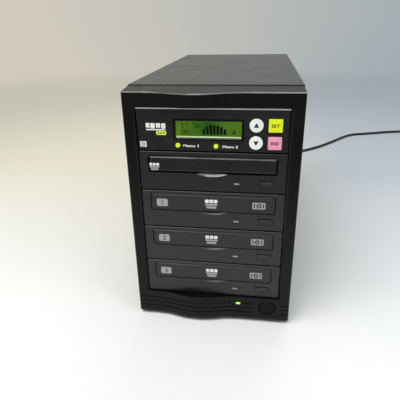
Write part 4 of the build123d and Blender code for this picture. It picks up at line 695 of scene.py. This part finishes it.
# ---------------------------------------------------------------- display
DOT_FONT = {                  # five by seven dots, top row first
    "0": "01110 10001 10011 10101 11001 10001 01110",
    "1": "00100 01100 00100 00100 00100 00100 01110",
    "2": "01110 10001 00001 00010 00100 01000 11111",
    "3": "11111 00010 00100 00010 00001 10001 01110",
    "4": "00010 00110 01010 10010 11111 00010 00010",
    "6": "00110 01000 10000 11110 10001 10001 01110",
    "8": "01110 10001 10001 01110 10001 10001 01110",
    ":": "00000 00100 00100 00000 00100 00100 00000",
    " ": "00000 00000 00000 00000 00000 00000 00000",
}
DISPLAY_ROWS = (" 1: 36:24       ", " 80:          4 ")
DISPLAY_COLUMNS = 16
DISPLAY_RISE = 0.6 * MM       # middle of the characters above the window's
CELL_X, CELL_Z = mm(3.9, 6.5)
CELL_TOP = 5.9 * MM           # upper row's top above the middle
DOT_X, DOT_Z = mm(0.72, 0.75)
DOT_SIZE = mm(0.71, 0.74)
DOT_CORNER = 0.05 * MM
BARS = 7
BAR_PHASE, BAR_SPAN = 0.7, 7.4    # the bars' heights follow one arch of a sine, BAR_SPAN bars long
BAR_START = -1.3              # middle of the first bar, in bar pitches
BAR_PITCH = 3.45 * MM
BAR_FOOT = 5.3 * MM           # below the middle
BAR_LOW, BAR_HIGH = mm(3.6, 9.4)   # shortest and tallest bar
BAR_WIDTH = 2.5 * MM
BAR_CORNER = 0.2 * MM


def add_letter(bm, letter, left, top, y):
    """Dots of one character, from its upper left corner."""
    for j, line in enumerate(DOT_FONT[letter].split()):
        for i, dot in enumerate(line):
            if dot == "1":
                x, z = left + (i + 0.5) * DOT_X, top - (j + 0.5) * DOT_Z
                add_print(bm, round_box(x, z, *DOT_SIZE, DOT_CORNER, 1), y)


def display_characters(materials):
    """Two rows of dark characters and a bar graph, just in front of the backlit screen."""
    middle_x, middle_z, y = centre("lcd_glass")
    middle_z += DISPLAY_RISE
    bm = bmesh.new()
    for row, words in enumerate(DISPLAY_ROWS):
        for column, letter in enumerate(words):
            left = middle_x + (column - DISPLAY_COLUMNS / 2) * CELL_X
            add_letter(bm, letter, left, middle_z + CELL_TOP - row * CELL_Z, y)
    for bar in range(BARS):
        rise = BAR_LOW + (BAR_HIGH - BAR_LOW) * math.sin(math.pi * (bar + BAR_PHASE) / BAR_SPAN)
        x, z = middle_x + (bar + BAR_START) * BAR_PITCH, middle_z - BAR_FOOT + rise / 2
        add_print(bm, round_box(x, z, BAR_WIDTH, rise, BAR_CORNER, 2), y)
    add_piece("display_characters", bm, "case", "display_glass", materials["ink_lcd"])


WINDOW_RISE = 0.9 * MM        # middle of the display above the panel's middle line
KEY_PROUD = 0.8 * MM
PANEL_Z = centre("lcd_glass")[1] - WINDOW_RISE
PANEL_FACE = centre("up_key")[2] + KEY_PROUD
SURROUND_OUTER = mm(5.0, 4.4) # how much wider and higher than the window
SURROUND_INNER = mm(2.05, 2.05)
SURROUND_CORNERS = mm(0.9, 0.5)
SURROUND_PROUD = 0.15 * MM
STRIP_INSET = 0.6 * MM
STRIP_HEIGHT = 1.3 * MM
STRIP_RISE = 0.9 * MM         # middle of the strip above the window's lower edge
STRIP_CORNER = 0.3 * MM
STRIP_PROUD = 0.4 * MM


def display_surround(materials):
    """Black frame round the window and the pale strip of the light guide along its lower edge."""
    lo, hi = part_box("lcd_glass")
    x, z, _ = centre("lcd_glass")
    width, height = hi.x - lo.x, hi.z - lo.z
    outlines = []
    for (wider, higher), corner in zip((SURROUND_OUTER, SURROUND_INNER), SURROUND_CORNERS):
        outlines.append(round_box(x, z, width + wider, height + higher, corner))
    bm = bmesh.new()
    add_ring(bm, *outlines, PANEL_FACE - SURROUND_PROUD, PANEL_FACE)
    add_piece("display_surround", bm, "case", "panel_plastic", materials["gloss_black"])
    bm = bmesh.new()
    strip = round_box(x, lo.z + STRIP_RISE, width - STRIP_INSET, STRIP_HEIGHT, STRIP_CORNER, 3)
    add_prism(bm, strip, lo.y - STRIP_PROUD, lo.y)
    add_piece("display_light_strip", bm, "case", "display_glass", materials["light_strip"])


# ---------------------------------------------------------------- prints on the control panel
ARROW_HALF = 2.6 * MM
ARROW_BASE = 1.9 * MM
ARROW_TIP = 2.6 * MM
KEY_WORDS = (
    ("confirm_key", "SET", "yellow_key", "ink_olive"),
    ("cancel_key", "END", "pink_key", "ink_maroon"),
)
KEY_WORD_WIDTH, KEY_WORD_HEIGHT = mm(7.8, 3.1)


def key_legends(materials):
    """Arrows and words printed on the keys, each riding on its own key."""
    for key, turn in (("up_key", 1), ("down_key", -1)):
        x, z, y = centre(key)
        base = z - turn * ARROW_BASE
        bm = bmesh.new()
        add_print(bm, [(x - ARROW_HALF, base), (x + ARROW_HALF, base), (x, z + turn * ARROW_TIP)], y)
        add_piece(key + "_arrow", bm, key, "white_key", materials["ink_black"])
    for key, words, slot, ink in KEY_WORDS:
        x, z, y = centre(key)
        bm = bmesh.new()
        text_into(bm, words, x, y - SKIN, z, KEY_WORD_HEIGHT, width=KEY_WORD_WIDTH)
        add_piece(key + "_words", bm, key, slot, materials[ink])


# Places on the panel: x, and z from PANEL_Z, then width, height and corner radius, in millimetres.
PANEL_WORDS = (("Menu 1", -20.6, -15.4), ("Menu 2", 18.6, -15.6))
PANEL_WORD_WIDTH, PANEL_WORD_HEIGHT = mm(15.5, 2.7)
PANEL_BLOCKS = (
    (-63.6, 4.6, 4.0, 4.6, 0.7),
    (-58.6, 4.2, 4.4, 5.4, 0.7),
    (-53.0, 4.6, 4.6, 4.6, 0.7),
    (-47.7, 4.2, 4.2, 5.4, 0.7),
)
PANEL_LINE = (-55.6, 0.3, 19.6, 1.3, 0.3)
PILL = (-50.2, -2.9, 10.4, 4.0, 1.6)
PILL_DOTS = ((-53.0, -2.9), (-50.2, -2.9), (-47.4, -2.9))
PILL_DOT_RADIUS = 0.85 * MM
STICKER = (-69.3, -14.6, 6.6, 5.9, 0.3)
STICKER_RING = mm(1.9, 1.1)


def panel_box(x, z, width, height, radius, count=6):
    return round_box(x * MM, PANEL_Z + z * MM, width * MM, height * MM, radius * MM, count)


def panel_prints(materials):
    """Words beside the small keys, the pale blocks and the pill at the left, and the sticker."""
    face = PANEL_FACE - SKIN
    bm = bmesh.new()
    for words, x, z in PANEL_WORDS:
        text_into(bm, words, x * MM, face, PANEL_Z + z * MM, PANEL_WORD_HEIGHT, width=PANEL_WORD_WIDTH)
    for block in PANEL_BLOCKS:
        add_print(bm, panel_box(*block), PANEL_FACE)
    add_print(bm, panel_box(*PANEL_LINE, 3), PANEL_FACE)
    add_piece("panel_prints", bm, "case", "panel_plastic", materials["ink_pale"])
    bm = bmesh.new()
    add_print(bm, panel_box(*PILL), PANEL_FACE, 0)
    for x, z in PILL_DOTS:
        add_print(bm, circle(x * MM, PANEL_Z + z * MM, PILL_DOT_RADIUS, 20), face, 1)
    add_piece("panel_pill", bm, "case", "lime_key", materials["ink_lime"], materials["ink_black"])
    bm = bmesh.new()
    face = PANEL_FACE - 2 * SKIN
    add_prism(bm, panel_box(*STICKER, 3), face, PANEL_FACE, 0)
    x, z = STICKER[0] * MM, PANEL_Z + STICKER[1] * MM
    outer, inner = (circle(x, z, radius, 28) for radius in STICKER_RING)
    add_ring(bm, outer, inner, face - SKIN, face, 1)
    add_piece("panel_sticker", bm, "case", "white_key", materials["sticker"], materials["ink_blue"])


# a pale strip painted as the highlight along the panel's top edge
GLINT_TOP = 0.75 * MM          # below the panel's top edge
GLINT_HEIGHT = 1.2 * MM
GLINT_PROUD = 0.25 * MM
GLINT_BACK, GLINT_DOWN = mm(0.2, 0.3)   # its sloped upper edge
GLINT_INSET = 0.2 * MM


def panel_trim(materials):
    """Pale strip along the panel's top edge: a painted highlight of that edge."""
    lo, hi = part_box("control_panel")
    face, back, top = lo.y - GLINT_PROUD, lo.y + SKIN, hi.z - GLINT_TOP
    foot = top - GLINT_HEIGHT
    section = [(face, foot), (face, top - GLINT_DOWN), (face + GLINT_BACK, top), (back, top), (back, foot)]
    bm = bmesh.new()
    ends = [[bm.verts.new((x, y, z)) for y, z in section] for x in (lo.x + GLINT_INSET, hi.x - GLINT_INSET)]
    bm.faces.new(ends[0])
    bm.faces.new(list(reversed(ends[1])))
    for i in range(len(section)):
        j = (i + 1) % len(section)
        bm.faces.new((ends[0][i], ends[1][i], ends[1][j], ends[0][j]))
    add_piece("panel_trim", bm, "case", "panel_plastic", materials["panel_glint"])


# ---------------------------------------------------------------- drive marks
GREY, DARK, BRIGHT = 0, 1, 2  # materials of the marks, by their order on the piece
READER_STACK = mm(-59.4, 4.6) # middle of each mark: x, and z above the drive's middle
WRITER_STACK = mm(-0.7, 7.6)
NUMERAL_TILE = mm(-53.4, 7.2)
RING_TILE = mm(48.9, 7.6)
READER_STACK_SCALE = 0.78
STACK_BLOCK = mm(4.0, 3.9, 0.9)   # width, height and corner radius, as of every mark here
STACK_PILLS = (               # height above the stack's middle, and size
    (-0.7 * MM, mm(13.2, 2.2, 0.9)),
    (-3.9 * MM, mm(10.6, 2.4, 1.0)),
)
STACK_PITCH = 4.6 * MM
STACK_RISE = 3.1 * MM         # blocks above the stack's middle
NUMERAL_BOX = mm(12.0, 8.6, 1.6)
NUMERAL_SHARE = 0.62          # of the tile's height
RING_BOX = mm(13.4, 7.4, 1.0)
RING_RADII = mm(2.7, 1.0)
SIDE_BAR = mm(1.5, 4.6, 0.4)  # upright bar each side of the ring
SIDE_BAR_OFFSET = 4.6 * MM


def bar_stack(bm, x, z, y, scale=1.0):
    """Three bold blocks over two pills; x and z are the middle of the stack."""
    for i in (-1, 0, 1):
        block = (size * scale for size in STACK_BLOCK)
        add_print(bm, round_box(x + i * STACK_PITCH * scale, z + STACK_RISE * scale, *block), y, BRIGHT)
    for rise, pill in STACK_PILLS:
        add_print(bm, round_box(x, z + rise * scale, *(size * scale for size in pill)), y, GREY)


def numeral_tile(bm, x, z, y, numeral):
    add_print(bm, round_box(x, z, *NUMERAL_BOX), y, GREY)
    text_into(bm, numeral, x, y - 2 * SKIN, z, NUMERAL_SHARE * NUMERAL_BOX[1], DARK)


def ring_tile(bm, x, z, y):
    add_print(bm, round_box(x, z, *RING_BOX), y, GREY)
    outer, inner = (circle(x, z, radius) for radius in RING_RADII)
    add_ring(bm, outer, inner, y - 2 * SKIN, y - SKIN, DARK)
    for i in (-1, 1):
        add_print(bm, round_box(x + i * SIDE_BAR_OFFSET, z, *SIDE_BAR, 3), y - SKIN, DARK)


def drive_marks(materials):
    """Plain marks printed on each tray's door, in place of the ones in the photograph."""
    for number, drive in enumerate(DRIVES):
        z = centre(drive + "_bezel")[1]
        y = centre(drive + "_door")[2]
        bm = bmesh.new()
        if drive == "reader":
            bar_stack(bm, READER_STACK[0], z + READER_STACK[1], y, READER_STACK_SCALE)
        else:
            numeral_tile(bm, NUMERAL_TILE[0], z + NUMERAL_TILE[1], y, str(number))
            bar_stack(bm, WRITER_STACK[0], z + WRITER_STACK[1], y)
            ring_tile(bm, RING_TILE[0], z + RING_TILE[1], y)
        add_piece(drive + "_marks", bm, drive + "_tray", "drive_plastic",
                  materials["ink_grey"], materials["ink_dark"], materials["ink_bright"])


# ---------------------------------------------------------------- finger scoop
SCOOP_RADIUS = 43.0 * MM
SCOOP_DEPTH = 3.0 * MM
SCOOP_BOTTOM = -5.0 * MM      # above the drive's middle
SCOOP_GAP = 0.75 * MM         # its top below the door
SCOOP_STEPS = 40
MERGE = 1e-7


def reader_scoop(materials):
    """Face of the reader's finger scoop, a narrow part of a cone: glossy, and painted lighter than the
    drive as a painted reflection.
    """
    _, z, face = centre("reader_bezel")
    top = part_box("reader_door")[0].z - SCOOP_GAP
    middle = z + SCOOP_BOTTOM + SCOOP_RADIUS
    half = math.acos((middle - top) / SCOOP_RADIUS)
    bm = bmesh.new()
    rows = []
    for step in range(SCOOP_STEPS + 1):
        a = half * (2 * step / SCOOP_STEPS - 1)
        inner = max(SCOOP_RADIUS - SCOOP_DEPTH, (middle - top) / math.cos(a))
        column = []
        for radius in (SCOOP_RADIUS, inner):
            for lift in (SKIN, -SKIN):
                x, low = radius * math.sin(a), middle - radius * math.cos(a)
                column.append(bm.verts.new((x, face + SCOOP_RADIUS - radius - lift, low + lift)))
        rows.append(column)
    for a, b in zip(rows, rows[1:]):
        for i, j in ((0, 2), (2, 3), (3, 1), (1, 0)):
            bm.faces.new((a[i], a[j], b[j], b[i]))
    bmesh.ops.remove_doubles(bm, verts=bm.verts, dist=MERGE)
    add_piece("reader_scoop", bm, "case", "drive_plastic", materials["scoop"])


# ---------------------------------------------------------------- painted shade in the gaps
DRIVE_GAP = mm(0.25, 5.0)     # start and end of a strip of painted shade, behind the front edge
EJECT_GAP = mm(0.3, 3.0)
BUTTON_GAP = mm(0.45, 1.65)
BUTTON_RING = mm(9.78, 8.86)  # outer and inner radius


def line_gap(bm, node, span):
    """Thin black strip in the gap over a node: painted shade."""
    lo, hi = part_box(node)
    outline = round_box((lo.x + hi.x) / 2, hi.z + SKIN / 2, hi.x - lo.x, SKIN, SKIN / 4, 1)
    add_prism(bm, outline, lo.y + span[0], lo.y + span[1])


def dark_gaps(materials):
    """Black sheets as painted shade in the gaps over each drive, over each eject button and round the
    power button.
    """
    bm = bmesh.new()
    for drive in DRIVES:
        line_gap(bm, drive + "_bezel", DRIVE_GAP)
    x, z, y = centre("power_button")
    outer, inner = (circle(x, z, radius) for radius in BUTTON_RING)
    add_ring(bm, outer, inner, y + BUTTON_GAP[0], y + BUTTON_GAP[1])
    add_piece("gap_painted_shade", bm, "case", "drive_plastic", materials["painted_shade_black"])
    for drive in DRIVES:
        bm = bmesh.new()
        line_gap(bm, drive + "_eject", EJECT_GAP)
        add_piece(drive + "_eject_shade", bm, drive + "_eject", "drive_plastic", materials["painted_shade_black"])


# ---------------------------------------------------------------- rear screws
REAR_LINE = 180 * MM          # screws behind this show from outside
THUMB_HEAD = 8 * MM           # screw heads wider than this are knurled
KNURLS = 28
KNURL_DEPTH = 0.3 * MM
KNURL_SPAN = mm(4.8, 0.8)     # start and end of the knurled rim, before the head's end
CROSS_LONG, CROSS_WIDE = 0.56, 0.13   # half size of a recess's arms, as shares of the head's radius
CROSS_CORNER = 0.4            # as a share of the arms' half width
ONE_VERTEX = 1e-6             # vertices of a CAD mesh nearer than this are one


def loose_boxes(node):
    """Lowest and highest corner of each separate solid in a node, in metres."""
    bm = bmesh.new()
    bm.from_mesh(frame["nodes"][node].data)
    bmesh.ops.remove_doubles(bm, verts=bm.verts, dist=ONE_VERTEX)
    left = set(bm.verts)
    boxes = []
    while left:
        group, todo = [], [left.pop()]
        while todo:
            vert = todo.pop()
            group.append(vert.co.copy())
            for edge in vert.link_edges:
                other = edge.other_vert(vert)
                if other in left:
                    left.remove(other)
                    todo.append(other)
        lo = tuple(min(p[k] for p in group) for k in range(3))
        hi = tuple(max(p[k] for p in group) for k in range(3))
        boxes.append((lo, hi))
    bm.free()
    return sorted(boxes)


def knurled_outline(x, z, radius):
    outline = []
    for step in range(2 * KNURLS):
        r = radius + (KNURL_DEPTH if step % 2 else 0.0)
        a = math.pi * step / KNURLS
        outline.append((x + r * math.cos(a), z + r * math.sin(a)))
    return outline


def screw_details(materials):
    """Black crosses as painted shade where the rear screws' recesses would be, and the knurled rims of the
    cover's thumbscrews.
    """
    crosses, rims = bmesh.new(), bmesh.new()
    for lo, hi in loose_boxes("screws"):
        if lo[1] < REAR_LINE:
            continue
        x, z, radius = (lo[0] + hi[0]) / 2, (lo[2] + hi[2]) / 2, (hi[0] - lo[0]) / 2
        if 2 * radius > THUMB_HEAD:
            inner = circle(x, z, radius - KNURL_DEPTH, 2 * KNURLS)
            start, end = (hi[1] - before for before in KNURL_SPAN)
            add_ring(rims, knurled_outline(x, z, radius), inner, start, end)
        # each cross is printed black: painted shade of a recess
        long, wide = CROSS_LONG * radius, CROSS_WIDE * radius
        for across, up in ((long, wide), (wide, long)):
            arm = round_box(x, z, 2 * across, 2 * up, CROSS_CORNER * wide, 3)
            add_prism(crosses, arm, hi[1], hi[1] + SKIN)
    add_piece("screw_recess_shade", crosses, "case", "screw_steel", materials["ink_black"])
    add_piece("thumbscrew_knurls", rims, "case", "screw_steel", materials["screw_steel"])


# ---------------------------------------------------------------- stage
FLOOR_SIZE = 60.0
FLOOR_WHITE = (0.90, 0.905, 0.905)
FLOOR_WARM = (0.86, 0.825, 0.665)
FLOOR_COOL = (0.55, 0.60, 0.63)
# in front the floor is painted darker: painted shade
FLOOR_DIM = (0.05, 0.05, 0.05)
BEHIND = (-0.26, 0.34)        # y where the white ends, and where the tints are full
RIGHT = (-0.15, 0.25)         # x where the warm tint ends, and where the cool one is full
IN_FRONT = (-0.31, -0.76)     # y where the floor starts to dim, and where it is dimmest
DIMMEST = 0.70
FAR = (0.9, 2.4)              # distance over which the floor turns into the backdrop
BACKDROP_LEFT = (0.62, 0.585, 0.51, 1)
BACKDROP_RIGHT = (0.36, 0.415, 0.445, 1)
BACKDROP_TURN = (-0.45, 0.35) # share of +X in a direction where one tone ends and the other starts
SKY_COLOUR = (0.95, 0.97, 1.0, 1)
SKY_STRENGTH = 0.38
LIGHTS = (                    # name, place, aim, size, power, colour
    ("key_light", (-0.38, -0.70, 1.42), (0, -0.05, 0.1), 0.9, 16.5, (1.0, 0.985, 0.96)),
    ("fill_light", (0.95, -0.75, 1.15), (0, 0, 0.15), 0.8, 5, (0.92, 0.96, 1.0)),
    ("rear_light", (0.2, 0.95, 1.7), (0, 0.1, 0.1), 1.0, 7, (0.96, 0.98, 1.0)),
)


def backdrop_tone(tree, direction):
    """Backdrop colour seen in a direction: warm towards -X and cool towards +X."""
    across = add_node(tree, "ShaderNodeSeparateXYZ", {"Vector": direction}).outputs["X"]
    start, end = BACKDROP_TURN
    share = add_node(tree, "ShaderNodeMapRange", {"Value": across, "From Min": start, "From Max": end})
    colours = {"Factor": share.outputs[0], MIX_A: BACKDROP_LEFT, MIX_B: BACKDROP_RIGHT}
    return add_node(tree, "ShaderNodeMix", colours, data_type="RGBA").outputs[MIX_RESULT]


def floor_material():
    """Pale floor: white round the object, warmer to the left, cooler to the right, with painted shade in
    front.

    Far away it takes the backdrop's colour, so that no horizon shows.
    """
    s = Shader("table")
    tinted_side = s.mix(s.spread(s.axis("X"), *RIGHT), FLOOR_WARM, FLOOR_COOL)
    near = s.mix(s.spread(s.axis("Y"), *BEHIND), FLOOR_WHITE, tinted_side)
    # the floor's darker front: painted shade
    dim = s.spread(s.axis("Y"), *IN_FRONT, 0.0, DIMMEST)
    s.set(Base_Color=s.mix(dim, near, FLOOR_DIM), Roughness=0.6, Specular_IOR_Level=0.2)
    away = s.node("ShaderNodeVectorMath", {0: s.place}, operation="LENGTH").outputs["Value"]
    heading = s.node("ShaderNodeVectorMath", {0: s.place}, operation="NORMALIZE").outputs["Vector"]
    far_glow = s.node("ShaderNodeEmission", {"Color": backdrop_tone(s.tree, heading), "Strength": 1.0})
    blend = s.node("ShaderNodeMixShader", {
        0: s.spread(away, *FAR), 1: s.bsdf.outputs[0], 2: far_glow.outputs[0]})
    put(s.tree, s.tree.nodes["Material Output"].inputs["Surface"], blend.outputs[0])
    return s.material


def set_world():
    """Soft sky light; the camera, gloss and glass see the plain pale backdrop instead."""
    world = bpy.data.worlds.new("studio")
    world.use_nodes = True
    tree = world.node_tree
    tree.nodes.clear()
    path = add_node(tree, "ShaderNodeLightPath")
    seen = path.outputs["Is Camera Ray"]
    for kind in ("Is Glossy Ray", "Is Transmission Ray"):
        either = add_node(tree, "ShaderNodeMath", {0: seen, 1: path.outputs[kind]}, operation="MAXIMUM")
        seen = either.outputs[0]
    tone = backdrop_tone(tree, add_node(tree, "ShaderNodeTexCoord").outputs["Generated"])
    light = add_node(tree, "ShaderNodeBackground", {"Color": SKY_COLOUR, "Strength": SKY_STRENGTH})
    backdrop = add_node(tree, "ShaderNodeBackground", {"Color": tone, "Strength": 1.0})
    mixed = add_node(tree, "ShaderNodeMixShader", {0: seen, 1: light.outputs[0], 2: backdrop.outputs[0]})
    add_node(tree, "ShaderNodeOutputWorld", {0: mixed.outputs[0]})
    bpy.context.scene.world = world


def area_light(name, place, aim, size, power, colour):
    data = bpy.data.lights.new(name, "AREA")
    data.size = size
    data.energy = power
    data.color = colour
    direction = Vector(aim) - Vector(place)
    turn = direction.to_track_quat("-Z", "Y").to_matrix().to_4x4()
    put_in_scene(name, data).matrix_world = Matrix.Translation(place) @ turn


def studio():
    """Floor, lights and world."""
    mesh = bpy.data.meshes.new("table")
    bm = bmesh.new()
    bmesh.ops.create_grid(bm, x_segments=1, y_segments=1, size=FLOOR_SIZE / 2)
    bm.to_mesh(mesh)
    bm.free()
    mesh.materials.append(floor_material())
    put_in_scene("table", mesh)
    for light in LIGHTS:
        area_light(*light)
    set_world()


# ---------------------------------------------------------------- put it together
bpy.context.scene.view_settings.view_transform = "Standard"
photo_camera()
MATERIALS = make_materials()
dress_cad_nodes(MATERIALS)
power_cord(MATERIALS)
display_characters(MATERIALS)
display_surround(MATERIALS)
key_legends(MATERIALS)
panel_prints(MATERIALS)
panel_trim(MATERIALS)
drive_marks(MATERIALS)
reader_scoop(MATERIALS)
dark_gaps(MATERIALS)
screw_details(MATERIALS)
studio()
